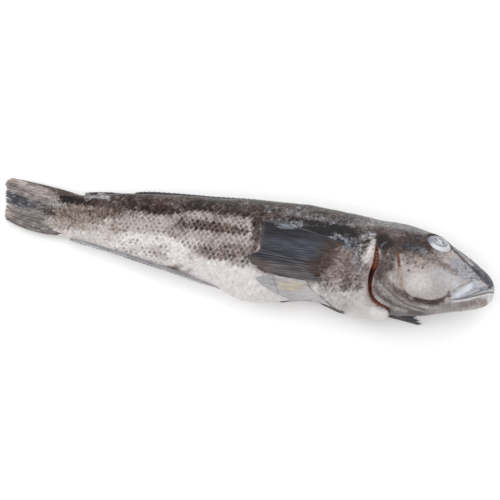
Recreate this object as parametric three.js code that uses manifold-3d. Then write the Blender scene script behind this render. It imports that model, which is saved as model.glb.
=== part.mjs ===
// A whole blue cod, raw, lying on its left side. Units are millimetres.
// X runs from the tail (-) to the snout (+), Y from the belly (-) to the back (+), and Z is up,
// so the right flank faces up. Along the fish, places are given as "back": the distance back from
// the snout tip. Across it they are given as "high": the height above the fish's long axis.
// The body is a loft of egg-shaped sections. The fins, eyes and gills are solids of their own.

import * as THREE from "three";
import { mergeVertices } from "three/addons/utils/BufferGeometryUtils.js";
import Module from "manifold-3d";

const wasm = await Module();
wasm.setup();

// ---- driving dimensions ----

const clearance = 0.4; // between the skin and whatever touches it
const bodyRings = 40;
const bodySides = 32;

// The outline and the half width of the body, at each place where its shape turns.
const stations = [
  { back: 0, top: -2.5, bottom: -2.5, side: 0, middle: -2.5 }, // snout tip
  { back: 5, top: 8.6, bottom: -12.4, side: 10, middle: -2.2 }, // lips and chin
  { back: 20, top: 19.5, bottom: -19.7, side: 18, middle: -1 },
  { back: 35, top: 27.3, bottom: -24.1, side: 22.5, middle: 0.5 }, // corner of the mouth
  { back: 52, top: 34.8, bottom: -29.8, side: 26.5, middle: 2.5 }, // eyes
  { back: 75, top: 38.9, bottom: -33.8, side: 30.5, middle: 3.5 }, // throat
  { back: 88, top: 39.2, bottom: -39.5, side: 31.2, middle: 4 }, // tip of the breast
  { back: 105, top: 39.3, bottom: -40.6, side: 31.5, middle: 4 },
  { back: 150, top: 40.6, bottom: -34.5, side: 31, middle: 4 }, // hollow ahead of the belly
  { back: 170, top: 40.2, bottom: -40, side: 30.5, middle: 3 },
  { back: 195, top: 38, bottom: -43.3, side: 29, middle: 1.5 }, // belly
  { back: 222, top: 35, bottom: -35, side: 25, middle: 1.5 }, // vent
  { back: 270, top: 31, bottom: -25.5, side: 17.5, middle: 2 },
  { back: 310, top: 26, bottom: -19.3, side: 11.5, middle: 2.5 },
  { back: 338, top: 20.5, bottom: -15.5, side: 7.8, middle: 2.5 },
  { back: 350, top: 19.5, bottom: -14.8, side: 4.6, middle: 2.5 }, // root of the tail fin
];

// Height of the fish's middle plane above the table: the limp tail droops towards it.
const middlePlane = [
  { back: 0, height: 29.5 },
  { back: 110, height: 29.5 },
  { back: 170, height: 29 },
  { back: 220, height: 26.5 },
  { back: 270, height: 21.5 },
  { back: 310, height: 16.5 },
  { back: 345, height: 11.5 },
  { back: 402, height: 5.5 },
];

// Lines on the side of the head, as [back, high] from the top or from the snout.
const gillCoverEdge = [[99.5, 13], [95.5, 2], [95.5, -6], [97, -13], [96.5, -20], [92, -28], [83, -32]];
const gillOpeningEdge = [[102, 13], [101, 2], [102, -6], [102, -13], [101, -21], [96.5, -29], [87, -34.5]];
const cheekEdge = [[81.3, 7], [78.8, -2], [75.8, -9.4], [71.5, -17.5], [65, -23], [56, -24.9], [40, -20]];
const throatFold = [[91.5, -12.5], [86, -17.8], [78.8, -22], [70.8, -25.3], [61.5, -27.6], [50, -27.8]];
const mouthLine = [[-3, -2.6], [5.8, -5.3], [15.5, -10.5], [25.3, -14.9], [34.5, -17.6]];
const upperLip = [[34.5, -15.6], [28, -8.8], [21, -2.8], [13, 1], [2, 1.5], [2, -3.4], [14, -8.8], [25, -14]];
const nostrils = [[20.8, 1.8], [29.3, 6.6]];

const groove = { width: 1.4, depth: 1.4 };
const mouthSlit = { width: 1.5, depth: 3.5 };
const gillSlit = { depth: 9, gillsBelowSkin: 4 };
const lipRise = 1.3;
const nostrilRadius = 1.2;

const eye = { back: 50.6, high: 25.4, radius: 10.4, thickness: 7, sunk: 1, outward: [0.3, 0.6, 0.74] };
const brow = { radius: 12.6, thickness: 3.6 };
const finPad = { back: 124, high: -10, along: 9, across: 15.5, rise: 1.2 }; // at the pectoral fin

// ---- smooth values along the fish ----

// A cubic through the rows' values, with slopes taken from the neighbouring rows.
function between(rows, key, back, spacing = (value) => value) {
  const x = spacing(back);
  const xs = rows.map((row) => spacing(row.back));
  const ys = rows.map((row) => row[key]);
  const last = rows.length - 1;
  let k = 0;
  while (k < last - 1 && x >= xs[k + 1]) k += 1;
  const rise = (i) => (ys[i + 1] - ys[i]) / (xs[i + 1] - xs[i]);
  const slope = (i) => {
    if (i === 0) return rise(0);
    if (i === last) return rise(last - 1);
    const before = xs[i] - xs[i - 1];
    const after = xs[i + 1] - xs[i];
    return (rise(i - 1) * after + rise(i) * before) / (before + after);
  };
  const span = xs[k + 1] - xs[k];
  const t = (x - xs[k]) / span;
  const t2 = t * t;
  const t3 = t2 * t;
  const start = (2 * t3 - 3 * t2 + 1) * ys[k] + (t3 - 2 * t2 + t) * span * slope(k);
  return start + (3 * t2 - 2 * t3) * ys[k + 1] + (t3 - t2) * span * slope(k + 1);
}

const planeHeight = (back) => between(middlePlane, "height", back);

// Spacing by the square root makes the snout round.
const outline = (key, back) => between(stations, key, back, Math.sqrt);

function sectionAt(back, grow = 0) {
  const middle = outline("middle", back);
  return {
    middle,
    up: outline("top", back) - middle + grow,
    down: middle - outline("bottom", back) + grow,
    side: Math.max(outline("side", back) + grow, 0.1),
  };
}

// A point of the skin. The angle is 0 on the back and a quarter turn on the right flank.
function skinPoint(back, angle, grow = 0) {
  const { middle, up, down, side } = sectionAt(back, grow);
  const high = middle + (Math.cos(angle) >= 0 ? up : down) * Math.cos(angle);
  return new THREE.Vector3(-back, high, planeHeight(back) + side * Math.sin(angle));
}

// Height above the table of a flank at a place seen from the side: sign is 1 right, -1 left.
function flankHeight(back, high, sign) {
  const { middle, up, down, side } = sectionAt(back);
  const share = Math.min(Math.abs(high - middle) / (high >= middle ? up : down), 1);
  return planeHeight(back) + sign * side * Math.sqrt(1 - share * share);
}

// ---- closed geometries ----

const mix = (a, b, t) => a + (b - a) * t;
const curveOf = (points) => new THREE.SplineCurve(points.map(([x, y]) => new THREE.Vector2(x, y)));

function closedGeometry(positions, triangles) {
  const point = (i) => new THREE.Vector3().fromArray(positions, 3 * i);
  let volume = 0;
  for (let i = 0; i < triangles.length; i += 3) {
    const [a, b, c] = [point(triangles[i]), point(triangles[i + 1]), point(triangles[i + 2])];
    volume += a.dot(b.cross(c));
  }
  const facingOut = volume > 0 ? triangles : triangles.slice().reverse();
  const geometry = new THREE.BufferGeometry();
  geometry.setAttribute("position", new THREE.Float32BufferAttribute(positions, 3));
  geometry.setIndex(facingOut);
  return geometry;
}

// Rings of points, joined along and closed by a centre point at each end.
function loftGeometry(rings) {
  const sides = rings[0].length;
  const positions = rings.flat().flatMap((p) => p.toArray());
  const triangles = [];
  for (let r = 0; r + 1 < rings.length; r += 1) {
    for (let k = 0; k < sides; k += 1) {
      const a = r * sides + k;
      const b = r * sides + ((k + 1) % sides);
      triangles.push(a, b, b + sides, a, b + sides, a + sides);
    }
  }
  for (const end of [0, rings.length - 1]) {
    const centre = rings[end].reduce((sum, p) => sum.add(p), new THREE.Vector3());
    const pole = positions.length / 3;
    positions.push(...centre.divideScalar(sides).toArray());
    for (let k = 0; k < sides; k += 1) {
      const a = end * sides + k;
      const b = end * sides + ((k + 1) % sides);
      triangles.push(...(end === 0 ? [pole, b, a] : [pole, a, b]));
    }
  }
  return closedGeometry(positions, triangles);
}

// A thin plate. u runs along the rays, from 0 at the root to 1 at the tip, and v from the first ray
// to the last. place(u, v) is its middle and across(u, v) the direction of its thickness.
function plateGeometry({ alongRays, acrossRays, place, across, thickness }) {
  const positions = [];
  const triangles = [];
  const columns = acrossRays + 1;
  const layer = (alongRays + 1) * columns;
  for (const face of [0.5, -0.5]) {
    for (let i = 0; i <= alongRays; i += 1) {
      for (let j = 0; j <= acrossRays; j += 1) {
        const [u, v] = [i / alongRays, j / acrossRays];
        const offset = across(u, v).multiplyScalar(face * thickness(u, v));
        positions.push(...place(u, v).add(offset).toArray());
      }
    }
  }
  const quad = (a, b, c, d) => triangles.push(a, b, c, a, c, d);
  for (let i = 0; i < alongRays; i += 1) {
    for (let j = 0; j < acrossRays; j += 1) {
      const a = i * columns + j;
      const b = a + layer;
      quad(a, a + columns, a + columns + 1, a + 1);
      quad(b, b + 1, b + columns + 1, b + columns);
    }
  }
  const rim = [];
  for (let j = 0; j < acrossRays; j += 1) rim.push(j);
  for (let i = 0; i < alongRays; i += 1) rim.push(i * columns + acrossRays);
  for (let j = acrossRays; j > 0; j -= 1) rim.push(alongRays * columns + j);
  for (let i = alongRays; i > 0; i -= 1) rim.push(i * columns);
  rim.forEach((a, k) => {
    const b = rim[(k + 1) % rim.length];
    quad(a, b, b + layer, a + layer);
  });
  return closedGeometry(positions, triangles);
}

// ---- solids for joining and cutting ----

function solidOf(geometry) {
  const bare = new THREE.BufferGeometry();
  bare.setAttribute("position", geometry.getAttribute("position"));
  bare.setIndex(geometry.index);
  const merged = mergeVertices(bare, 1e-4);
  const vertProperties = new Float32Array(merged.attributes.position.array);
  const triVerts = new Uint32Array(merged.index.array);
  return new wasm.Manifold(new wasm.Mesh({ numProp: 3, vertProperties, triVerts }));
}

function geometryOf(solid) {
  const mesh = solid.getMesh();
  const geometry = new THREE.BufferGeometry();
  geometry.setAttribute("position", new THREE.Float32BufferAttribute(mesh.vertProperties, mesh.numProp));
  geometry.setIndex(new THREE.Uint32BufferAttribute(mesh.triVerts, 1));
  return geometry;
}

// An upright prism over an outline drawn on the side of the fish. With a sign it is on the right
// flank (1) or on the left one (-1) only, and without one it goes right through.
function prism(points, sign = 0, nearPlane = 4) {
  const middle = planeHeight(0);
  const pastSkin = 60;
  const from = sign > 0 ? middle + nearPlane : middle - pastSkin;
  const to = sign < 0 ? middle - nearPlane : middle + pastSkin;
  const shape = new THREE.Shape(points.map(([back, high]) => new THREE.Vector2(-back, high)));
  const geometry = new THREE.ExtrudeGeometry(shape, { depth: to - from, bevelEnabled: false });
  return solidOf(geometry.translate(0, 0, from));
}

const smoothLine = (points, count) => curveOf(points).getPoints(count).map((p) => p.toArray());
const smoothLoop = (points, count) => smoothLine([...points, points[0]], count).slice(0, -1);

// The outline of a band along a line, that narrows towards its far end.
function bandAlong(points, width, count) {
  const line = curveOf(points).getPoints(count);
  const edge = (sign) =>
    line.map((p, i) => {
      const way = line[Math.min(i + 1, count)].clone().sub(line[Math.max(i - 1, 0)]).normalize();
      const half = (sign * width * mix(1, 0.25, i / count)) / 2;
      return [p.x - way.y * half, p.y + way.x * half];
    });
  return [...edge(1), ...edge(-1).reverse()];
}

// ---- the body ----

function bodySolid(grow = 0) {
  const rings = [];
  const tailRoot = stations.at(-1).back;
  for (let r = 1; r <= bodyRings; r += 1) {
    const back = tailRoot * (r / bodyRings) ** 1.5;
    const ring = [];
    for (let k = 0; k < bodySides; k += 1) {
      const point = skinPoint(back, (2 * Math.PI * k) / bodySides, grow);
      // The weight of the fish presses its lower flank flat against the table.
      ring.push(point.setZ(Math.max(point.z, -grow)));
    }
    rings.push(ring);
  }
  return solidOf(loftGeometry(rings));
}

// The gill opening seen from the side, or a smaller outline inside it.
function gillOutline(inset) {
  const edgePoints = (points, way) => {
    const [curve, count, trim] = [curveOf(points), 8, inset / 30];
    return Array.from({ length: count + 1 }, (unused, k) => {
      const p = curve.getPoint(mix(trim, 1 - trim, k / count));
      return [p.x + way * inset, p.y - (way * inset) / 2];
    });
  };
  return [...edgePoints(gillCoverEdge, 1), ...edgePoints(gillOpeningEdge, -1).reverse()];
}

// A flattened bead, set in the skin where the eye is.
function eyeSolid(sign, radius, thickness, sunk) {
  const outward = new THREE.Vector3(...eye.outward).normalize();
  const centre = new THREE.Vector3(-eye.back, eye.high, flankHeight(eye.back, eye.high, 1));
  centre.addScaledVector(outward, -sunk);
  const turn = new THREE.Quaternion().setFromUnitVectors(new THREE.Vector3(0, 1, 0), outward);
  const geometry = new THREE.SphereGeometry(1, 18, 8).scale(radius, thickness, radius);
  const solid = solidOf(geometry.applyQuaternion(turn).translate(...centre.toArray()));
  if (sign > 0) return solid;
  const middle = planeHeight(eye.back);
  return solid.translate([0, 0, -middle]).mirror([0, 0, 1]).translate([0, 0, middle]);
}

function nostrilSolid(back, high, sign) {
  const geometry = new THREE.SphereGeometry(nostrilRadius, 8, 6);
  return solidOf(geometry.translate(-back, high, flankHeight(back, high, sign)));
}

function finPadOutline() {
  const count = 12;
  return Array.from({ length: count }, (unused, k) => {
    const angle = (2 * Math.PI * k) / count;
    const back = finPad.back + finPad.along * Math.cos(angle);
    return [back, finPad.high + finPad.across * Math.sin(angle)];
  });
}

function fishBody() {
  const belowGroove = bodySolid(-groove.depth);
  const belowMouth = bodySolid(-mouthSlit.depth);
  const belowGills = bodySolid(-gillSlit.depth);
  const lip = prism(smoothLoop(upperLip, 14)).intersect(bodySolid(lipRise));
  const pad = prism(finPadOutline(), 1).intersect(bodySolid(finPad.rise));
  let body = bodySolid().add(lip).add(pad);
  body = body.subtract(prism(bandAlong(mouthLine, mouthSlit.width, 8)).subtract(belowMouth));
  for (const sign of [1, -1]) {
    const socket = eyeSolid(sign, eye.radius + clearance, eye.thickness + clearance, eye.sunk);
    body = body.add(eyeSolid(sign, brow.radius, brow.thickness, 0)).subtract(socket);
    for (const line of [cheekEdge, throatFold]) {
      body = body.subtract(prism(bandAlong(line, groove.width, 8), sign).subtract(belowGroove));
    }
    for (const [back, high] of nostrils) body = body.subtract(nostrilSolid(back, high, sign));
    body = body.subtract(prism(gillOutline(0), sign).subtract(belowGills));
  }
  return body;
}

// The red gills, deep in the gill opening.
function gillsSolid(sign) {
  const top = bodySolid(-gillSlit.gillsBelowSkin);
  const floor = bodySolid(clearance - gillSlit.depth);
  return prism(gillOutline(clearance), sign, 6).intersect(top).subtract(floor);
}

// ---- the fins ----

const upwards = () => new THREE.Vector3(0, 0, 1);

// How thick a fin is from ray to ray: full on each ray, thinner on the skin between them.
const ribbed = (v, rays, depth) => 1 - depth / 2 + (depth / 2) * Math.cos(2 * Math.PI * rays * v);

// Tail fin: its rays fan out from the tail root to a worn, nearly square edge.
const tailFin = {
  root: { back: 350.4, top: 18.6, bottom: -14, thickness: 6.5 },
  tip: { back: 401, top: 27, bottom: -14, thickness: 1.6 },
  rays: 11,
  slant: 5, // how much shorter the lower rays are
  fray: 2,
};

function tailFinGeometry() {
  const { root, tip, rays, slant, fray } = tailFin;
  const corners = (v) => 9 * Math.max(0, 1 - v / 0.14) ** 2 + 13 * Math.max(0, v / 0.2 - 4) ** 2;
  const rayTip = (v) => tip.back - slant * v - corners(v) - fray * Math.abs(Math.sin(22 * v + 0.5));
  const place = (u, v) => {
    const back = mix(root.back, rayTip(v), u);
    const spread = u * (2 - u);
    const high = mix(mix(root.top, tip.top, spread), mix(root.bottom, tip.bottom, spread), v);
    return new THREE.Vector3(-back, high, planeHeight(back));
  };
  const thickness = (u, v) => mix(root.thickness, tip.thickness, u) * ribbed(v, rays, 0.4);
  return plateGeometry({ alongRays: 4, acrossRays: 2 * rays, place, across: upwards, thickness });
}

// Dorsal and anal fins: low, folded back along the middle of the back and of the belly.
const dorsalFin = { from: 132, to: 339, height: 3.6, lean: -0.55, edge: "top", up: 1, rays: 17 };
const analFin = { from: 213, to: 341, height: 5, lean: 0.1, edge: "bottom", up: -1, rays: 12 };
const foldedFinThickness = { root: 2, tip: 0.9 };

function foldedFinGeometry({ from, to, height, lean, edge, up, rays }) {
  const ends = (v) => Math.min(1, 6 * v, 9 * (1 - v)) ** 0.6;
  const stand = (v) => Math.max(height * ends(v) * ribbed(v, rays, 0.24), 0.8);
  const place = (u, v) => {
    const back = mix(from, to, v);
    const high = outline(edge, back) + up * (clearance + stand(v) * u);
    return new THREE.Vector3(-back, high, planeHeight(back) + lean * stand(v) * u);
  };
  const thickness = (u) => mix(foldedFinThickness.root, foldedFinThickness.tip, u);
  return plateGeometry({ alongRays: 2, acrossRays: 2 * rays, place, across: upwards, thickness });
}

// The root and the tip of a paired fin are lines, as [back, high] from its first ray to its last.
// Right pectoral fin: a fan that lies on the flank, its rays pointing back.
const rightPectoral = {
  root: [[121.5, 3.5], [128.5, -3.5], [134, -10.5], [134.5, -17], [131, -23.8]],
  tip: [[190.5, 14], [194.3, 9.6], [194.3, 2], [193, -6], [191.5, -13], [195.5, -20.5], [186.8, -25.2]],
  rays: 12,
  bow: 4, // how far the upper rays arch
  thickness: 1.6,
};

function rightPectoralGeometry() {
  const { root, tip, rays, bow, thickness } = rightPectoral;
  const [rootLine, tipLine] = [curveOf(root), curveOf(tip)];
  const place = (u, v) => {
    const p = rootLine.getPoint(v).lerp(tipLine.getPoint(v), u);
    const high = p.y + bow * (1 - v) * Math.sin(Math.PI * u);
    const lift = clearance + Math.max(0.75 * thickness, (finPad.rise + thickness) * (1 - 4 * u));
    return new THREE.Vector3(-p.x, high, flankHeight(p.x, high, 1) + lift);
  };
  const ribs = (u, v) => thickness * ribbed(v, rays, 0.3) * mix(1, 0.7, u);
  return plateGeometry({ alongRays: 5, acrossRays: 2 * rays, place, across: upwards, thickness: ribs });
}

// Left pectoral fin: pushed forward under the throat, flat on the table.
const leftPectoral = {
  root: [[111, -26], [108, -28.5], [104, -31]],
  tip: [[66, -21.5], [60, -25.2], [57.5, -26.2], [54.5, -29.3], [61, -29.6]],
  rays: 6,
  thickness: 1.4,
  restHeight: 1, // of its middle above the table
};

function leftPectoralGeometry() {
  const { root, tip, rays, restHeight, thickness } = leftPectoral;
  const [rootLine, tipLine] = [curveOf(root), curveOf(tip)];
  const place = (u, v) => {
    const p = rootLine.getPoint(v).lerp(tipLine.getPoint(v), u);
    const underSkin = flankHeight(p.x, p.y, -1) - clearance - thickness;
    const height = mix(underSkin, restHeight, Math.min(1, u * 2.5));
    return new THREE.Vector3(-p.x, p.y, Math.max(height, restHeight));
  };
  const even = () => thickness;
  return plateGeometry({ alongRays: 6, acrossRays: 2 * rays, place, across: upwards, thickness: even });
}

// Pelvic fins: they start on the breast and lie back along the belly.
const pelvicFin = {
  root: [[129.5, -25], [122, -27.8], [114, -31.5]],
  tip: [[178, -27.8], [186.5, -30], [181, -32], [168, -34]],
  rays: 5,
  sag: 1.2, // how far the lower rays hang
  thickness: 1.6,
};

function pelvicGeometry(sign) {
  const { root, tip, rays, sag, thickness } = pelvicFin;
  const [rootLine, tipLine] = [curveOf(root), curveOf(tip)];
  const off = clearance + thickness;
  const place = (u, v) => {
    const p = rootLine.getPoint(v).lerp(tipLine.getPoint(v), u);
    const high = p.y - sag * v * Math.sin(Math.PI * u);
    const { middle, down } = sectionAt(p.x, off);
    const angle = Math.acos(-Math.min((middle - high) / down, 0.97));
    return skinPoint(p.x, sign * angle, off);
  };
  const across = (u, v) => {
    const p = place(u, v);
    return new THREE.Vector3(0, p.y, p.z - planeHeight(-p.x)).normalize();
  };
  const even = () => thickness;
  return plateGeometry({ alongRays: 5, acrossRays: 2 * rays, place, across, thickness: even });
}

// ---- the finished fish ----

const surface = (name, color, roughness) => new THREE.MeshStandardMaterial({ name, color, roughness });
const skin = surface("skin", 0x8f857f, 0.42);
const tailSkin = surface("tail fin skin", 0x77706c, 0.5);
const darkFin = surface("dark fin", 0x3d4048, 0.45);
const paleFin = surface("pale fin", 0xa9a7a8, 0.5);
const eyeball = surface("eye", 0xbfbfcc, 0.2);
const gillTissue = surface("gills", 0x5a2a20, 0.4);

const fish = new THREE.Group();

function addPart(name, geometry, material) {
  const mesh = new THREE.Mesh(geometry, material);
  mesh.name = name;
  fish.add(mesh);
}

addPart("body", geometryOf(fishBody()), skin);
addPart("caudal_fin", tailFinGeometry(), tailSkin);
addPart("dorsal_fin", foldedFinGeometry(dorsalFin), tailSkin);
addPart("anal_fin", foldedFinGeometry(analFin), paleFin);
addPart("pectoral_fin_right", rightPectoralGeometry(), darkFin);
addPart("pectoral_fin_left", leftPectoralGeometry(), darkFin);
for (const [name, sign] of Object.entries({ right: 1, left: -1 })) {
  addPart(`pelvic_fin_${name}`, pelvicGeometry(sign), paleFin);
  addPart(`eye_${name}`, geometryOf(eyeSolid(sign, eye.radius, eye.thickness, eye.sunk)), eyeball);
  addPart(`gills_${name}`, geometryOf(gillsSolid(sign)), gillTissue);
}

// The origin is on the table, under the middle of the fish.
const box = new THREE.Box3().setFromObject(fish);
const middle = box.getCenter(new THREE.Vector3());
fish.position.set(-middle.x, -middle.y, -box.min.z);

const part = new THREE.Group();
part.add(fish);

export default part;
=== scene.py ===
import math
import bpy
import numpy as np
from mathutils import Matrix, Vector


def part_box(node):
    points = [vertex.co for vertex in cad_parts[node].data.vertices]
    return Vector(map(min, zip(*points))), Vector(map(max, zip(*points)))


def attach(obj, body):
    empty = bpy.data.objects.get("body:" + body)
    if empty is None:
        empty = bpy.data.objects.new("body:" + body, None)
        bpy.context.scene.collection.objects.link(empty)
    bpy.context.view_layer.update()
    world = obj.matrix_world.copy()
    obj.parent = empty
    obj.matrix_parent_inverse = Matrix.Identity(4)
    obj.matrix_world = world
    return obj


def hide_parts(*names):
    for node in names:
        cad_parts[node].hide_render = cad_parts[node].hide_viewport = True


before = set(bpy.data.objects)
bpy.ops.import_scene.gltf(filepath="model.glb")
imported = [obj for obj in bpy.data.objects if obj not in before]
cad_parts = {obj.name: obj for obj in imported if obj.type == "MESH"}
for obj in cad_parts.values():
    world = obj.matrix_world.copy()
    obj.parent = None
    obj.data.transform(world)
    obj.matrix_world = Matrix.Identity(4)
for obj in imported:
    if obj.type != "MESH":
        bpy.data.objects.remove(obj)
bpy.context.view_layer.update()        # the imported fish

# Everything on the fish is measured in millimetres: back is the distance behind the snout tip, high
# is above the long axis in the side view, and rise is above the table. A turn round the body starts
# at the back ridge, passes the upper (right) flank at a quarter and the belly at a half.
bodyLow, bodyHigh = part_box("body")
noseX = bodyHigh.x * 1000 + 1.383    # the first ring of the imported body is 1.383 mm behind the snout
axisY = bodyLow.y * 1000 + 43.37     # the belly is 43.37 mm below the axis at its deepest
quarter = math.pi / 2
roomGloss, roomLight = 0.018, 1.176    # a tone renders as paint * roomLight + roomGloss, all linear


def linear(hexTone):
    # sRGB hex to linear red, green and blue
    part = np.array([int(hexTone[k:k + 2], 16) for k in (1, 3, 5)]) / 255
    return np.where(part <= 0.04045, part / 12.92, ((part + 0.055) / 1.055) ** 2.4)


def ease(start, end, x):
    # 0 at start, 1 at end, with level ends: 3t^2 - 2t^3
    t = np.clip((x - start) / (end - start), 0, 1)
    return t * t * (3 - 2 * t)


def span(a, b, c, d, x):
    # 0 outside a and d, 1 from b to c, eased between them
    return ease(a, b, x) * ease(d, c, x)


def bell(x, width):
    # 1 at 0, falling off on both sides: e to the minus (x / width) squared
    return np.exp(-(x / width) ** 2)


def mix(a, b, share):
    return a + (b - a) * share


def hermite(knots, x):
    # Smooth line through knots: cubic Hermite, each inner slope weighed by its two neighbours
    at, value = np.array(knots, float).T
    step = np.diff(at)
    rate = np.diff(value) / step
    inner = (rate[:-1] * step[1:] + rate[1:] * step[:-1]) / (step[1:] + step[:-1])
    slope = np.concatenate([rate[:1], inner, rate[-1:]])
    k = np.clip(np.searchsorted(at, x, side="right") - 1, 0, len(step) - 1)
    t = (x - at[k]) / step[k]
    return ((2 * t**3 - 3 * t**2 + 1) * value[k] + (t**3 - 2 * t**2 + t) * step[k] * slope[k]
            + (3 * t**2 - 2 * t**3) * value[k + 1] + (t**3 - t**2) * step[k] * slope[k + 1])


def bend(points, count=6):
    # A drawn line made smooth: Hermite through its points by their distance along it
    points = np.array(points, float)
    gone = np.concatenate([[0], np.cumsum(np.hypot(*np.diff(points, axis=0).T))])
    t = np.linspace(0, gone[-1], count * (len(points) - 1) + 1)
    return np.stack([hermite(np.stack([gone, points[:, k]], -1), t) for k in (0, 1)], -1)


def besideLine(line, back, high, reach):
    # How far a place is from a drawn line (positive on the left of its way), and its share along it.
    # Places further off than reach are not worked out.
    points = bend(line)
    far, along = np.full(back.shape, 1e3), np.full(back.shape, 0.5)
    low, top = points.min(0) - reach, points.max(0) + reach
    near = (back > low[0]) & (back < top[0]) & (high > low[1]) & (high < top[1])
    if not near.any():
        return far, along
    b, h = back[near][:, None], high[near][:, None]
    start, way = points[:-1], np.diff(points, axis=0)
    length = np.hypot(way[:, 0], way[:, 1])
    t = np.clip(((b - start[:, 0]) * way[:, 0] + (h - start[:, 1]) * way[:, 1]) / length**2, 0, 1)
    offBack, offHigh = b - start[:, 0] - t * way[:, 0], h - start[:, 1] - t * way[:, 1]
    gap = np.hypot(offBack, offHigh)
    k, row = gap.argmin(1), np.arange(len(gap))
    side = np.where(way[k, 0] * offHigh[row, k] - way[k, 1] * offBack[row, k] < 0, -1, 1)
    gone = np.concatenate([[0], np.cumsum(length)])
    far[near] = gap[row, k] * side
    along[near] = (gone[k] + t[row, k] * length[k]) / gone[-1]
    return far, along


lattice = np.random.default_rng(11).random((64, 64, 64)) * 2 - 1


def mottle(place, size, seed, layers=3):
    # Smooth random field between -1 and 1: random numbers on a cubic lattice blended by ease, with
    # finer layers at half the size and 0.55 of the strength. size is one length or one per axis.
    total, weight, share = 0, 0, 1.0
    for layer in range(layers):
        p = place / (np.array(size, float) / 2**layer) + 13.7 * (seed + 1) + 5.3 * layer
        cell = np.floor(p).astype(int)
        f = p - cell
        f = f * f * (3 - 2 * f)
        value = 0
        for corner in range(8):
            c = np.array([corner & 1, corner >> 1 & 1, corner >> 2])
            w = np.prod(np.where(c, f, 1 - f), axis=-1)
            value = value + w * lattice[tuple(((cell + c) % 64)[..., k] for k in range(3))]
        total, weight, share = total + share * value, weight + share, share * 0.55
    return total / weight * 1.6


def flatMottle(along, across, size, seed, layers=3):
    # The same field over two measures only
    return mottle(np.stack([along, across, 0 * along], -1), size, seed, layers)


def gridFaces(rows, columns, around=False):
    # Quads of a grid of points. Their front is the way rows step crossed with the way columns step.
    i, j = np.meshgrid(np.arange(rows - 1), np.arange(columns if around else columns - 1), indexing="ij")
    k = (j + 1) % columns
    quad = np.stack([i * columns + j, (i + 1) * columns + j, (i + 1) * columns + k, i * columns + k], -1)
    return quad.reshape(-1, 4)


def capFaces(tip, ring, turned=False):
    # Triangles from one point to each step of a closed ring
    after = np.roll(ring, -1)
    return np.stack([np.full(len(ring), tip), *((after, ring) if turned else (ring, after))], -1)


def copies(faces, size, count):
    # The faces of many like shapes of size points each, one shape after the other
    return (faces + size * np.arange(count)[:, None, None]).reshape(-1, faces.shape[1])


def makePiece(name, place, faces, tone, smooth=True):
    # place: points in fish millimetres, x already turned to minus back. faces: a list of arrays of
    # triangles or quads. A closed mesh that came out inside out is turned by its signed volume.
    corners = [f for f in faces if len(f)]
    fan = np.concatenate([np.concatenate([f[:, [0, k, k + 1]] for k in range(1, f.shape[1] - 1)])
                          for f in corners])
    a, b, c = (place[fan[:, k]] - place.mean(0) for k in range(3))
    if (a * np.cross(b, c)).sum() < 0:
        corners = [f[:, ::-1] for f in corners]
    points = (place + [noseX, axisY, 0]) / 1000
    mesh = bpy.data.meshes.new(name)
    mesh.vertices.add(len(points))
    mesh.vertices.foreach_set("co", points.astype(np.float32).ravel())
    loops = np.concatenate([f.ravel() for f in corners])
    sizes = np.concatenate([np.full(len(f), f.shape[1]) for f in corners])
    mesh.loops.add(len(loops))
    mesh.loops.foreach_set("vertex_index", loops.astype(np.int32))
    mesh.polygons.add(len(sizes))
    mesh.polygons.foreach_set("loop_start", np.concatenate([[0], np.cumsum(sizes)[:-1]]).astype(np.int32))
    mesh.polygons.foreach_set("use_smooth", np.full(len(sizes), smooth))
    mesh.update(calc_edges=True)
    # The pale room's reflection adds a little to every tone, so the paint is that much darker
    layer = mesh.color_attributes.new(name="tone", type="FLOAT_COLOR", domain="POINT")
    full = np.ones((len(points), 4), np.float32)
    full[:, :3] = np.clip((tone - roomGloss) / roomLight, 0.003, 1)
    layer.data.foreach_set("color", full.ravel())
    mesh.validate()
    piece = bpy.data.objects.new(name, mesh)
    bpy.context.scene.collection.objects.link(piece)
    return piece


def placeOn(piece, slotName, *nodes):
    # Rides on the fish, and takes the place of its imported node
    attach(piece, "root")
    if nodes:
        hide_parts(*nodes)


def sideNames(piece, node, flank):
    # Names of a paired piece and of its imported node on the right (1) or the left (-1) flank
    return (piece + "Right", node + "_right") if flank > 0 else (piece + "Left", node + "_left")


def plateFaces(rows, columns):
    # Top grid, bottom grid right after it, and the wall round them
    count = rows * columns
    topSide = gridFaces(rows, columns)
    bottomSide = topSide[:, ::-1] + count
    i, j = np.arange(rows - 1), np.arange(columns - 1)
    first, last = i * columns, i * columns + columns - 1
    far = (rows - 1) * columns + j
    wall = [np.stack([first + columns, first, first + count, first + columns + count], -1),
            np.stack([last, last + columns, last + columns + count, last + count], -1),
            np.stack([j, j + 1, j + 1 + count, j + count], -1),
            np.stack([far + 1, far, far + count, far + 1 + count], -1)]
    return [np.concatenate([topSide, bottomSide, *wall])]


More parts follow.
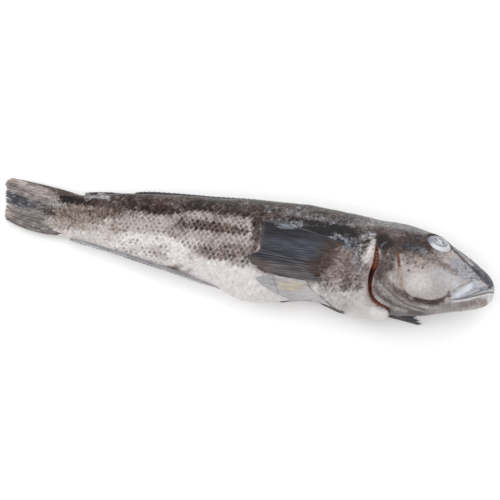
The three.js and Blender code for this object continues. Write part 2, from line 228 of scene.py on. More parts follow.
trunk = {  # millimetres: (back, value)
    "top": [(0, -2.5), (5, 8.6), (20, 19.5), (35, 27.3), (52, 34.8), (75, 38.9), (88, 39.2), (105, 39.3),
            (150, 40.6), (170, 40.2), (195, 38), (222, 35), (270, 31), (310, 26), (338, 20.5),
            (350, 19.5), (358, 20.2), (365, 15.5), (369, 4)],
    "bottom": [(0, -2.5), (5, -12.4), (20, -19.7), (35, -24.1), (52, -29.8), (70, -33.2), (77.5, -34.3),
               (80, -37.4), (83, -39.1), (88, -39.6), (105, -40.6), (150, -34.5), (170, -40),
               (195, -43.3), (222, -35), (270, -25.5), (310, -19.3), (338, -15.5), (350, -14.8),
               (358, -13.6), (365, -9), (369, 2.6)],
    "half": [(0, 0), (5, 10), (20, 18), (35, 22.5), (52, 26.5), (75, 30.5), (88, 31.2), (105, 31.5),
             (150, 31), (170, 30.5), (195, 29), (222, 25), (270, 17.5), (310, 11.5), (338, 7.8),
             (350, 4.8), (358, 2.9), (365, 1.5), (369, 0.2)],
    "middle": [(0, -2.5), (5, -2.2), (20, -1), (35, 0.5), (52, 2.5), (75, 3.5), (88, 4), (150, 4),
               (170, 3), (195, 1.5), (222, 1.5), (270, 2), (310, 2.5), (369, 3.3)],
    "plane": [(0, 29.5), (110, 29.5), (170, 29), (220, 26.5), (270, 21.5), (310, 16.5), (345, 11.5),
              (402, 5.5)],
    "end": 369, "rows": 400, "columns": 246,
    # share of the rings and how far back they are; share of the columns and of the way round
    "rings": [(0, 0), (0.04, 3.5), (0.5, 108), (0.62, 140), (0.94, 350), (1, 369)],
    "round": [(0, 0), (0.03, 0.018), (0.62, 0.49), (0.65, 0.52), (1, 1)],
    "snoutRings": 16, "snoutLong": 3.6,
}
rootKnots = {name: [(math.sqrt(at), value) for at, value in trunk[name]]
             for name in ("top", "bottom", "half", "middle")}


def outline(name, back):
    # The trunk's measures follow the square root of back, so that the snout comes out round
    return hermite(rootKnots[name], np.sqrt(np.clip(back, 0, trunk["end"])))


def plane(back):
    return hermite(trunk["plane"], back)


def smoothBody(back, turn):
    # An upper and a lower half ellipse round the middle: high = middle + up or down times cos(turn),
    # rise = plane + half width times sin(turn)
    middle, c = outline("middle", back), np.cos(turn)
    reach = np.where(c >= 0, outline("top", back) - middle, middle - outline("bottom", back))
    return np.stack([-back, middle + reach * c, plane(back) + outline("half", back) * np.sin(turn)], -1)


def outward(back, turn):
    # Unit normal: the step backwards crossed with the step round the body
    stepBack, stepTurn = 0.4, 0.01
    b = np.clip(back, 0.5, trunk["end"] - 0.5)
    alongBack = smoothBody(b + stepBack, turn) - smoothBody(b - stepBack, turn)
    alongTurn = smoothBody(b, turn + stepTurn) - smoothBody(b, turn - stepTurn)
    n = np.cross(alongBack, alongTurn)
    return n / np.maximum(np.linalg.norm(n, axis=-1, keepdims=True), 1e-9)


def turnAt(back, high, flank=1):
    # The turn at which a height of the side view is on the upper (1) or the lower (-1) flank
    middle = outline("middle", back)
    reach = np.where(high >= middle, outline("top", back) - middle, middle - outline("bottom", back))
    turn = np.arccos(np.clip((high - middle) / np.maximum(reach, 1e-6), -1, 1))
    return turn if flank > 0 else 2 * math.pi - turn


face = {  # drawn lines on the side of the head, as (back, high)
    "mouth": [(-3, -2.6), (1.5, -3.1), (5.8, -5.3), (15.5, -10.5), (25.3, -14.9), (34.5, -17.9)],
    "maxilla": [(33.6, -14.6), (27, -9.6), (20, -4.4), (15, -0.8)],
    "cheekEdge": [(81.3, 8), (80.6, 3), (78.6, -1.4), (75.8, -9.4), (72.5, -17.5), (66.5, -21),
                  (59.3, -22.4), (52.3, -21.9), (44.8, -19.8), (38, -17.2)],
    "jawShade": [(63.5, -22.6), (57, -23.5), (50, -23.2), (43.5, -21.3), (38, -18.2)],
    "cover": [(97.6, 11), (94.6, 0.8), (94.6, -5.4), (96.6, -11.8), (96.6, -20), (94.3, -26.7),
              (90.5, -29.7), (84.5, -31.4), (77.3, -33.4)],
    "opening": [(99.4, 11.6), (99.0, 5), (99.0, -1.6), (99.6, -7), (100.4, -13.4), (99.6, -20.5),
                (97.6, -26), (94.3, -30.2), (89, -32.2), (83, -33.7), (77.3, -35)],
    "upperFold": [(92.5, -15.4), (86.5, -19), (79.5, -22.6), (70.5, -26.4), (61.5, -27.5), (50, -27.4)],
    "middleFold": [(95, -15), (92.5, -20.5), (87.5, -25.6), (80, -28.8), (70.5, -30.2), (58, -29.8)],
    "lowerFold": [(93, -28.4), (87.5, -31), (80, -32.4), (70, -32.4), (56, -31)],
    "flap": [(149, -25.5), (143.5, -28.1), (138.3, -30.5), (129.3, -34.2), (120.5, -37.8), (112, -40)],
    "nostrils": [(20.8, 1.8), (29.3, 6.6)],
}
eye = {
    "back": 50.2, "high": 25.4, "radius": 10.6, "tall": 0.86, "outward": (0.22, 0.6, 0.77), "bulge": 2.0,
    "rimSunk": 1.3, "rings": 34, "sides": 96, "deep": 2.5,
    # darker and paler clouds in the pupil, in eye radii: middle, half width, half height, slant, and then
    # colour, strength, where the edge ends, and how ragged it is
    "clouds": [(0.3, 0.02, 0.1, 0.22, 0.3, "#5d5f69", 0.9, 0.5, 0.3),
               (-0.26, -0.06, 0.09, 0.2, 0.45, "#454650", 0.9, 0.5, 0.3),
               (-0.02, 0.27, 0.24, 0.06, 0.0, "#5b5d65", 0.9, 0.5, 0.3),
               (-0.018, -0.06, 0.14, 0.24, 0.3, "#d6d6dd", 0.95, 0.6, 0.2)],
}
finPad = {"back": 122, "high": -9, "along": 15.5, "across": 15, "rise": 0.9, "fan": 26}

# the right eye's own axes: out of the head, along the head to the tail, and up to the back ridge
eyeOut = np.array(eye["outward"]) / np.linalg.norm(eye["outward"])
eyeBack, eyeHigh = np.array([[eye["back"]], [eye["high"]]])
eyeCentre = smoothBody(eyeBack, turnAt(eyeBack, eyeHigh))[0]
eyeAlong = np.array([-1, 0, 0]) + eyeOut * eyeOut[0]
eyeAlong /= np.linalg.norm(eyeAlong)
eyeUp = np.cross(eyeAlong, eyeOut)
eyeUp /= np.linalg.norm(eyeUp)


def mirrored(place):
    # The other flank of the head: rise measured down from the plane that halves the fish
    return place * [1, 1, -1] + [0, 0, 2 * trunk["plane"][0][1]]


def eyeShare(place, upper):
    # How far a place is from the middle of its flank's eye, in eye radii: an upright oval is made of a
    # round one by dividing the height in the eye's own plane by its tallness
    off = np.where(upper[:, None], place, mirrored(place)) - eyeCentre
    x, y = off @ eyeAlong, off @ eyeUp
    return np.hypot(np.hypot(x, y / eye["tall"]), off @ eyeOut) / eye["radius"]


def padShare(back, high):
    # How far a place is from the middle of the fin's fleshy root: 1 at its oval edge
    return np.hypot((back - finPad["back"]) / finPad["along"], (high - finPad["high"]) / finPad["across"])


def relief(place, back, high, upper):
    # Millimetres by which the skin stands out of (or sinks into) the smooth body. Each drawn line adds
    # a groove or ridge, a bell curve of the distance to it, or a step, an ease of that distance.
    lift = 0.32 * mottle(place, 15, 1, 2) + 0.1 * mottle(place, 4.5, 2, 2)
    fall = lambda d, length: np.exp(-np.maximum(d, 0) / length)
    # mouth slit between two lips
    d, t = besideLine(face["mouth"], back, high, 6)
    lips = 0.5 * bell(d - 1.6, 0.9) + 0.4 * bell(d + 1.7, 1.1)
    lift += ease(1.0, 0.93, t) * (lips - 1.2 * bell(d, 0.6))
    # the bone over the mouth's corner, with a groove above it
    d, t = besideLine(face["maxilla"], back, high, 7)
    wide = mix(2.6, 1.9, t)
    lift += 0.9 * ease(wide + 0.4, wide - 0.5, np.abs(d)) * span(0, 0.05, 0.75, 1, t)
    lift -= 0.5 * bell(d + wide + 0.5, 0.5) * ease(0, 0.1, t)
    # the cheek's edge stands over the skin behind it
    d, t = besideLine(face["cheekEdge"], back, high, 14)
    ends = span(0, 0.12, 0.9, 1, t)
    lift += ends * (-1.5 * ease(-0.2, 0.9, d) * fall(d, 6) + 0.4 * bell(np.minimum(d, 0), 4))
    lift -= ends * 0.7 * bell(d - 0.3, 0.6)
    d, t = besideLine(face["jawShade"], back, high, 6)
    lift -= 0.9 * ease(2.4, 0.6, np.abs(d)) * span(0, 0.25, 0.8, 1, t)
    # gill opening: a deep gap between the cover's raised edge and the shoulder's
    coverOff, coverShare = besideLine(face["cover"], back, high, 16)
    openOff, openShare = besideLine(face["opening"], back, high, 16)
    window = span(0, 0.05, 0.94, 1, coverShare) * span(0, 0.05, 0.94, 1, openShare)
    lift += window * (0.7 * bell(np.minimum(coverOff, 0), 3) * (coverOff < 0.3)
                      + 0.9 * bell(openOff - 1.2, 1.8) * (openOff > -0.3)
                      - 5.6 * ease(-0.15, 1.1, np.minimum(coverOff, -openOff)))
    for name, depth in (("upperFold", 1.0), ("middleFold", 0.7), ("lowerFold", 0.8)):
        d, t = besideLine(face[name], back, high, 9)
        lift += span(0, 0.2, 0.75, 1, t) * (0.45 * bell(d + 0.7, 0.8)
                                            - depth * ease(-0.1, 0.7, d) * fall(d, 3))
    d, t = besideLine(face["flap"], back, high, 10)
    lift += span(0, 0.05, 0.85, 1, t) * (0.5 * bell(np.minimum(d, 0), 4) * (d < 0)
                                         - 1.3 * ease(-0.2, 0.5, d) * fall(d, 6))
    # eye socket with a rim, and nostrils
    away = eyeShare(place, upper) * eye["radius"]
    lift += -2.4 * ease(eye["radius"] + 0.3, eye["radius"] - 1.6, away) + 0.9 * bell(away - 11.8, 1.2)
    for spotBack, spotHigh in face["nostrils"]:
        away = np.hypot(back - spotBack, high - spotHigh)
        lift += -1.1 * bell(away, 0.8) + 0.35 * bell(away - 1.5, 0.7)
    # the fin's fleshy root, ribbed like a fan, on the right flank only
    away = padShare(back, high)
    angle = np.arctan2(high - finPad["high"], back - finPad["back"] + finPad["fan"])
    ribs = 0.1 * np.cos(58 * angle) * ease(0.2, 0.8, away)
    lift += (finPad["rise"] + ribs) * ease(1.12, 0.6, away) * upper
    return lift + (back < 115) * 0.05 * mottle(place, 1.6, 3, 2)


def skinAt(back, turn, extra=0):
    # A point of the finished skin, and extra millimetres above it. Where the fish rests on the table it
    # is flat. Also gives the side view's height, and the normal.
    place, normal = smoothBody(back, turn), outward(back, turn)
    flat = (back.ravel(), place[..., 1].ravel())
    lift = relief(place.reshape(-1, 3), *flat, np.sin(turn).ravel() > 0).reshape(back.shape)
    lift = lift * span(0, 1.5, trunk["end"] - 12, trunk["end"], back)
    done = place + normal * (lift + extra)[..., None]
    done[..., 2] = np.maximum(done[..., 2], 0.02)
    return done, place[..., 1], normal


# Each mark is a patch of colour: sRGB hex, strength, centre (back, high), half length, half height,
# tilt in degrees, and softness of its edge. Later marks lie over earlier ones.
headMarks = [
    ("#8b8382", 1.0, 82, -24.5, 24, 9.5, 10, 0.5),  # skin folds under the cheek
    ("#aea6a4", 1.0, 59, -7.5, 24, 14, -5, 0.45),  # cheek
    ("#d0cac9", 0.9, 60, -10.5, 10, 7, -10, 0.9),
    ("#b3adac", 0.7, 42, -8, 8, 9, 20, 0.6),
    ("#92867f", 0.85, 68, 6.6, 14, 4.6, 0, 0.7),    # upper cheek, freckled brown
    ("#938985", 0.8, 54, 8.6, 13, 3.0, 14, 0.7),
    ("#7b6f6c", 0.8, 65, 11.0, 11, 2.8, 8, 0.7),
    ("#a39c9b", 0.9, 43, 14.5, 8.5, 4.4, -8, 0.5),  # below the eye
    ("#6a605d", 0.9, 72, -22.0, 11, 2.0, 20, 0.6),  # painted shade in the fold below the cheek
    ("#b9b7ba", 0.6, 45, -2, 7, 6, 20, 0.8),
    ("#b4aba7", 0.85, 38.5, 17.2, 6.5, 2.6, 12, 0.5),
    ("#857b7a", 0.7, 55, 14.5, 5, 3.6, 0, 0.7),
    ("#a09fa5", 1.0, 27, 6.6, 13.6, 7.6, 27, 0.14),  # smooth grey in front of the eye
    ("#bdbabd", 0.7, 36, -4, 7, 5.5, 30, 0.6),
    ("#a39b99", 0.9, 81.6, -9.4, 4.2, 5.2, 0, 0.6),  # gill cover
    ("#564b48", 0.9, 89, -1.5, 7, 8.5, 0, 0.6),
    ("#61564f", 0.85, 90, -11.5, 5, 6, 0, 0.7),
    ("#483d3b", 1.0, 82, 19.5, 28, 11.5, 0, 0.28),  # dark top of the head
    ("#433836", 0.9, 71, 25, 16, 8, 0, 0.4),
    ("#6d6261", 0.8, 87, 24.5, 9, 4.5, 0, 0.8),
    ("#564a47", 0.9, 84, 9.5, 9, 4.5, 0, 0.6),
    ("#2b2423", 0.95, 94.5, 14, 8, 7, 0, 0.4),      # near black above the gill opening
    ("#352e2d", 0.9, 92, 7, 3.2, 5.5, 0, 0.5),
    ("#424146", 0.95, 70, 15.2, 8.4, 3.2, -4, 0.5),  # frosted patches behind the eye
    ("#7e7f86", 0.6, 62, 14, 4, 2.6, 0, 0.6),
    ("#828081", 0.9, 84, 35.0, 34, 6.2, 0, 0.5),    # paler nape, partly painted sheen along the head's top
    ("#55484a", 0.85, 93.4, -10, 3.2, 9, -4, 0.6),  # membrane beside the gill opening
    ("#746a67", 0.8, 82, -17.5, 7, 2.2, 38, 0.5),
    ("#c6c5c9", 0.8, 32, -5.5, 3.5, 3, 30, 0.7),
    ("#dfdddd", 1.0, 2.2, -7.4, 4.0, 5.2, 0, 0.5),    # chin
    ("#8f8077", 0.7, 7.5, -13, 3.6, 3, 20, 0.6),
]
# dark spots on the cheek and the gill cover: back, high, size
spots = [(89.0, -2.6, 1.5), (84.8, -5.6, 1.5), (83.8, -3.4, 1.1), (87.9, -7.2, 1.5), (88.6, 2.4, 1.2),
         (84, 1.5, 1.0), (72.6, 1.4, 1.1), (70.4, -4.1, 1.0), (60.2, 0.6, 0.9), (73, 4.4, 0.8),
         (78, -12.5, 0.4), (21.4, 2.2, 0.6), (66, 4, 0.7), (57, 5.5, 0.6), (30, -3.5, 0.4), (34, 6, 0.5),
         (27, 9.5, 0.45), (24, 5.5, 0.4), (38, 10.5, 0.5), (18.5, 5.5, 0.4), (5.8, -1.2, 1.2)]
shoulderMarks = [
    ("#786d6a", 1.0, 118, -11, 24, 17, 0, 0.4),     # brown-grey shoulder
    ("#665b58", 0.9, 113, -7, 9, 8, 0, 0.7),
    ("#857b79", 0.8, 110, -20, 6, 8, 0, 0.6),
    ("#989190", 0.85, 123, -25.5, 13, 5, -14, 0.5),
    ("#bcb7b7", 1.0, 118, -34, 24, 6.5, -7, 0.4),  # breast
    ("#cbc4c2", 0.9, 96, -35.5, 15, 5, 0, 0.5),
    ("#dfdad9", 1.0, 86, -37, 8, 4.5, 0, 0.5),
    ("#5f5451", 0.8, 115.5, -21.5, 3.4, 7, 0, 0.7),
    ("#9a8d88", 0.4, 112, -36, 5, 2.4, -10, 0.7),
    ("#6a5f5d", 0.9, 108, 3, 7, 7, 0, 0.5),
    ("#453a37", 0.9, 109, 10, 8, 4.5, -15, 0.5),
    ("#4e4f56", 0.95, 124, 8.5, 12, 5.6, 0, 0.35),  # frosted blue grey above the fin root
    ("#3c3c42", 1.0, 163, -3, 23, 18, 0, 0.15),     # painted shade on the skin under the fin
    # dark band over the fin: partly the skin's own colour, partly painted shade in the hollow over it
    ("#302d31", 1.0, 152, 12.5, 33, 5, 4, 0.4),
    ("#1f1a1b", 1.0, 140, 17.9, 32, 4.8, 1.5, 0.35),  # darkest part of the dark band over the fin
    ("#4a484b", 0.8, 170, 15.4, 14, 3.4, -10, 0.6),  # frost on it
    ("#5a4d49", 0.85, 133, -5, 8, 10, 25, 0.6),     # fin root
    ("#776a67", 0.8, 121, -8, 7, 10, 0, 0.6),
    ("#463a36", 0.9, 136.5, -9, 6, 13, 12, 0.6),
    ("#8f8785", 0.8, 143.5, -25, 6, 2.6, -20, 0.6),  # skin between the fins
]
scratches = [[(292, 24), (299, 16), (304, 9)], [(300, 24), (306, 17), (309, 13)], [(272, 28), (278, 22)],
             [(148, 33), (158, 31), (166, 31.5)], [(206, 27), (205, 31)],
             [(318, 20), (330, 17), (338, 11)]]
backMarks = [
    ("#7f7b7b", 0.9, 106, 37.5, 34, 6.5, 0, 0.8),  # nape, partly painted sheen along the back's top
    ("#4b4441", 0.85, 140, 34, 56, 5.0, 0, 0.6),
    ("#443f40", 0.85, 202, 33, 20, 4.5, -3, 0.8),
    ("#716e70", 0.95, 164, 26.4, 42, 3.4, 1.5, 0.6),  # paler band below the back
    ("#565153", 0.8, 121, 26.8, 9, 3.0, 0, 0.8),
    ("#8c8889", 0.9, 101, 28.5, 16, 4.4, -3, 0.8),
    # partly painted sheen along the back's top
    ("#7a7778", 0.6, 160, 40, 60, 2.6, 0, 0.8),
]
flankMarks = [
    ("#4d4340", 1.0, 222, 24, 46, 7.0, 0, 0.35),    # upper flank
    ("#574d4a", 0.7, 208, 21, 10, 4, 0, 0.6),
    ("#332926", 1.0, 242, 21.6, 13, 4.4, -6, 0.6),
    ("#a09794", 0.95, 215, 11.2, 22, 3.0, -3, 0.5),  # pale band
    ("#5f524e", 0.95, 226, 4.4, 28, 4.4, 1, 0.35),  # band of dark scales
    ("#a69d9b", 0.95, 222, -5.4, 30, 3.4, 2, 0.5),
    ("#837775", 0.95, 213, -13.8, 25, 5.2, -8, 0.35),  # lower band of scales
    ("#b3aaa8", 0.9, 281, 1, 23, 8.5, 0, 0.4),      # spotted flank
    ("#7d726e", 0.75, 252, 4, 10, 6, 0, 0.6),
    ("#9a8e8a", 0.5, 255, -4, 9, 5, 0, 0.6),
    ("#4b403d", 1.0, 283, 17.6, 24, 6.2, -3, 0.35),    # dark patch on the back
    ("#40352f", 0.85, 272, 14, 10, 4.6, 0, 0.6),
    ("#625652", 0.8, 263, 23.5, 12, 3.4, -6, 0.6),
    ("#473d3a", 0.95, 312, 17.5, 22, 6, -8, 0.35),
    ("#453b38", 0.8, 300, 16, 10, 4, -4, 0.6),
    ("#63564f", 0.9, 314, 7.0, 20, 4.6, -4, 0.6),
    ("#70635d", 0.9, 338, 2.5, 22, 7, 0, 0.45),     # tail root
    ("#8d817b", 0.7, 345, -4, 9, 3.6, 0, 0.7),
    ("#9f928d", 0.6, 331, 1, 6, 3, 0, 0.7),
    ("#91847e", 0.85, 331, -7.4, 14, 3.6, 2, 0.7),
    ("#cec6c4", 0.95, 328, -13.8, 26, 3.4, 2, 0.5),
    ("#332b28", 1.0, 344, 14.8, 13, 3.6, 6, 0.4),
    ("#e0dbda", 0.8, 262, -15, 22, 5.5, -12, 0.6),
    ("#a0928b", 0.6, 305, -7, 8, 4, 0, 0.8),
    ("#b3a8a6", 0.7, 270, -18, 6, 3.4, 0, 0.8),
    ("#77655e", 0.95, 253, -28.6, 7, 2.2, -9, 0.6),  # vent
    ("#a79a96", 0.6, 262, -22, 5, 3, 20, 0.8),
    ("#9d908c", 0.6, 306, -4, 2.4, 7, 10, 0.8),
    ("#c6bdbb", 0.6, 292, -20.5, 34, 2.0, -9, 0.8),
    ("#94877f", 0.6, 245, -30.6, 8, 1.8, -9, 0.6),
    ("#352c29", 0.95, 192.8, 12.6, 4.4, 5.0, 0, 0.35),  # brown behind the fin
    ("#4f4441", 0.9, 191, 2, 3.8, 11, 0, 0.5),
    ("#8f8683", 0.95, 363, 15.4, 8, 4.6, 20, 0.4),
    ("#2f2825", 0.95, 349, 14.6, 8, 2.2, 12, 0.5),
    ("#4c423f", 0.9, 363, 3.4, 5.2, 4.6, 0, 0.6),
]
groundLines = {  # where one ground colour ends and the next begins, as (back, high)
    "flank": [(90, -24), (150, -24), (190, -24), (205, -23), (230, -18.5), (250, -12), (262, -6),
              (280, -2), (300, -8), (320, -5), (340, -9), (369, -14)],
    "back": [(90, 5), (150, 8), (195, 16.4), (209, 14.8), (223, 15.6), (231, 17.6), (239, 18), (250, 15),
             (262, 10.5), (300, 10), (320, 10), (350, 10), (369, 14)],
    "crown": [(0, 6), (10, 11), (20, 14.6), (30, 18.6), (40, 24), (52, 31), (62, 33)],
}

# Each stroke: a drawn line, half width, colour, strength, softness, raggedness, the share of the line
# where it starts, and how far beside the line it lies. Values after the last unusual one are left out.
drawnStrokes = {
    "snoutBand": [
        # a thin painted highlight along the snout's ridge
        ([(2, 6.5), (8, 11.5), (14, 15.8), (22, 20.2)], 1.6, "#8a898c", 0.85),
        ([(2, 1.6), (6.5, 4.5), (12, 8.2), (17, 11), (22, 13.4)], 3.9, "#5a5b63", 0.95, 0.3, 0.5),
    ],
    "headLines": [
        ([(15, 7.8), (20, 9.9), (25, 13.2), (30.5, 17.2), (35.8, 21), (41, 24.6)],
         1.3, "#494444", 0.9, 0.5, 0.6),
        ([(24, 17.6), (31, 21.4), (38, 25.4)], 0.6, "#b6b6be", 0.7, 0.8, 0.9),
        ([(0.4, -2.2), (3, -2.8), (6, -4)], 1.1, "#c8c8cc", 0.85, 0.6),
        ([(3, 0.6), (8.5, 2.4), (14, 5.0)], 2.2, "#5a5b63", 0.9),
        ([(10, 9.5), (17, 13.6), (23, 16)], 0.5, "#7b7b81", 0.7, 0.8, 1.2),
        ([(58, 11.4), (49, 7.4), (40, 5.2), (31, 1.6)], 2.4, "#8b817d", 0.7, 0.8, 0.8),
        ([(60, 12.5), (50, 9.6), (43, 7.4), (38, 7.6)], 1.0, "#736965", 0.6, 0.8, 1.2),
        # streaks over the near black patch and the shoulder
        ([(101.5, 19.6), (105, 18.4), (109, 15.4), (113, 12.6)], 2.0, "#858183", 0.75, 0.8, 0.8),
        ([(100, 19.8), (105.5, 18.3), (111, 14.6)], 0.6, "#bebbbd", 0.85, 0.8, 1.2),
        ([(101.2, 17), (104.8, 15.6), (109.5, 11.7)], 0.5, "#a9a5a7", 0.8, 0.8, 1.2),
        ([(90, 16), (94, 12.5), (95, 8)], 0.5, "#6b6f78", 0.7, 0.8, 1.4),
        # lower jaw, lips and the bone over them
        ([(36, -20.5), (26, -17.8), (15, -14), (8, -10.5)], 3.0, "#9a9393", 0.9),
        ([(50, -25.5), (40, -22.8), (32, -20.3)], 1.5, "#7f7674", 0.7),
        ([(60, -28.4), (46, -26.8), (34, -23.5), (22, -19.5)], 1.4, "#8d8685", 0.7),
        ([(35, -16.2), (30, -13.6), (24, -8.2), (18.6, -2.8), (14.5, 0.4)], 2.8, "#bcbdc5", 1.0, 0.25),
        ([(31, -14.2), (27.5, -11.6), (23.5, -7.4), (19, -2.8)], 1.9, "#d6d8e1"),
        ([(20, -5.2), (15, -3), (10, -1.8)], 2.4, "#b4b6c1", 0.9),
        ([(29, -15.8), (22, -11.4), (12, -5.8), (5, -2.8)], 1.3, "#b0b2bc", 0.8, 0.4),
        ([(36.4, -14.6), (33.6, -12.0), (30.6, -8.8), (25.4, -3.8), (19.5, 0.8)],
         0.4, "#7d7b80", 0.5, 0.9),
        ([(28, -16.0), (22, -10.8), (15.6, -4.6)], 0.3, "#8f909a", 0.6),
        ([(14, -6), (10.5, -3.4), (6, -1.6)], 1.5, "#8d8e94", 0.8, 0.6),
        ([(27, -15.3), (18.3, -9.9), (11, -5), (5.8, -2.2)], 0.45, "#6f7075", 0.85, 0.7),
        ([(27, -18.6), (20, -16.2), (14, -13.2)], 1.5, "#7f7573", 0.65, 0.8, 0.8),
        # painted shade in the mouth's slit, then a painted highlight along the lower lip
        (face["mouth"], 0.38, "#6d6663", 0.7, 0.6),
        (face["mouth"], 0.5, "#dad9dc", 0.8, 0.6, 0.5, 0.15, -0.9),
        ([(0.5, -4.6), (5, -7.4), (11, -10.6)], 0.6, "#d4d4d8", 0.7),
        ([(35, -18.2), (31.5, -18.6)], 0.8, "#b9b5b6", 0.7),
        ([(37.6, -12), (36.2, -13.8), (34.5, -15.8)], 1.2, "#6c6769", 0.85),
    ],
    "foldLines": [
        (face["jawShade"], 1.8, "#4a3f3c", 0.95, 0.6),
        # painted shade along the head's lower edge
        ([(80, -33.4), (70, -31.6), (60, -30.9), (50, -30.2), (42, -28.6)], 1.6, "#524d4c", 0.95, 0.6),
        ([(44, -20.6), (39.5, -17.6), (36, -14.2)], 1.0, "#665d5c", 0.9, 0.7),
        ([(63, 20.4), (59.4, 17), (55, 14.2), (50, 13)], 0.7, "#514440", 0.8, 0.7, 0.6),
        ([(57, 13), (51, 11.4), (46, 11.8)], 0.6, "#6b5d59", 0.6, 0.8, 0.9),
        (face["cheekEdge"], 0.6, "#5f5451", 0.8, 0.7, 0.3, 0.42, 0.7),
        ([(93.5, -16.5), (89, -20), (80, -24.7), (71.3, -28), (61, -29)], 1.5, "#9d9897", 0.8, 0.8, 0.4),
        ([(95, -19), (90, -25), (82, -28.6), (72, -30.2), (60, -30.4)], 1.2, "#635956", 0.85, 0.8, 0.5),
        ([(93.5, -26.8), (85, -30.3), (75.3, -31.2), (64, -31.4)], 1.0, "#a5a1a0", 0.85, 0.7, 0.4),
        (face["upperFold"], 0.45, "#4f4542", 0.85, 0.6, 0.3, 0.0, 0.4),
        (face["lowerFold"], 0.5, "#5d5351", 0.6, 0.6),
        ([(96.3, -9), (97.2, -15), (96.6, -21), (94, -27)], 0.6, "#a19b9a", 0.7, 0.7, 0.3, 0.0, 0.9),
        # the line down the edge of the cheek
        ([(80.9, 8), (79.8, 3), (77.9, -3.6)], 1.25, "#714c3f", 0.95),
        ([(78, -2.5), (76.4, -8), (74.6, -13), (72.2, -18.8)], 1.5, "#a18e84", 0.85, 0.8),
    ],
    "gillEdge": [
        ([(100.8, 15.8), (101.6, 12), (102.2, 7)], 1.5, "#c6bebd", 0.9, 0.8, 1.0),
        ([(101.8, 10), (103, 5), (103.8, 0), (103.8, -5.5)], 2.7, "#d3cbc9", 0.9, 0.9, 1.1),
        ([(105.5, 6), (107.5, 1), (108.5, -5)], 0.8, "#a19d9d", 0.7, 0.8, 1.4),
        ([(112, 8), (107, 9.4), (103, 11.5)], 0.7, "#a7a1a1", 0.7, 0.8, 1.2),
        ([(102.8, -10), (103, -16), (102, -22), (99, -29), (92, -33.5)], 1.3, "#aaa19f", 0.45, 0.7, 0.6),
        ([(109.5, 6), (112, -1), (113.5, -8)], 1.5, "#9b9b9f", 0.6, 0.8, 1.2),
        ([(105.5, -4), (107.5, -10), (108.5, -16)], 0.9, "#9b9a9e", 0.5, 0.8, 1.2),
        ([(80, -34.2), (77.6, -35)], 1.0, "#4a3530", 0.9),
        (face["flap"], 0.55, "#4a4342", 0.9, 0.5, 0.25, 0.0, 0.25),
    ],
}


def patch(back, high, rag, centreBack, centreHigh, along, across, tilt, soft):
    # Share of a mark: 1 inside a tilted ellipse, 0 outside, its edge eased and made uneven by rag
    c, s = math.cos(math.radians(tilt)), math.sin(math.radians(tilt))
    b, h = back - centreBack, high - centreHigh
    away = np.hypot((b * c + h * s) / along, (h * c - b * s) / across)
    return ease(1 + soft * 0.8, 1 - soft * 0.8, away + rag * (0.12 + 0.3 * soft))


def coat(hexTone, *shape):
    # One colour for every point of a grid
    return np.tile(linear(hexTone), (*shape, 1))


def wash(tone, hexTone, share):
    # Lays a colour over a tone, by a share of it between 0 and 1
    return mix(tone, linear(hexTone), np.clip(share, 0, 1)[..., None])


def shade(tone, change):
    # Makes a tone lighter or darker by a share of itself
    return tone * (1 + change)[..., None]


def paintMarks(tone, rows, back, high, rag, where=1.0):
    for hexTone, strength, *shape in rows:
        tone = wash(tone, hexTone, strength * where * patch(back, high, rag, *shape))
    return tone


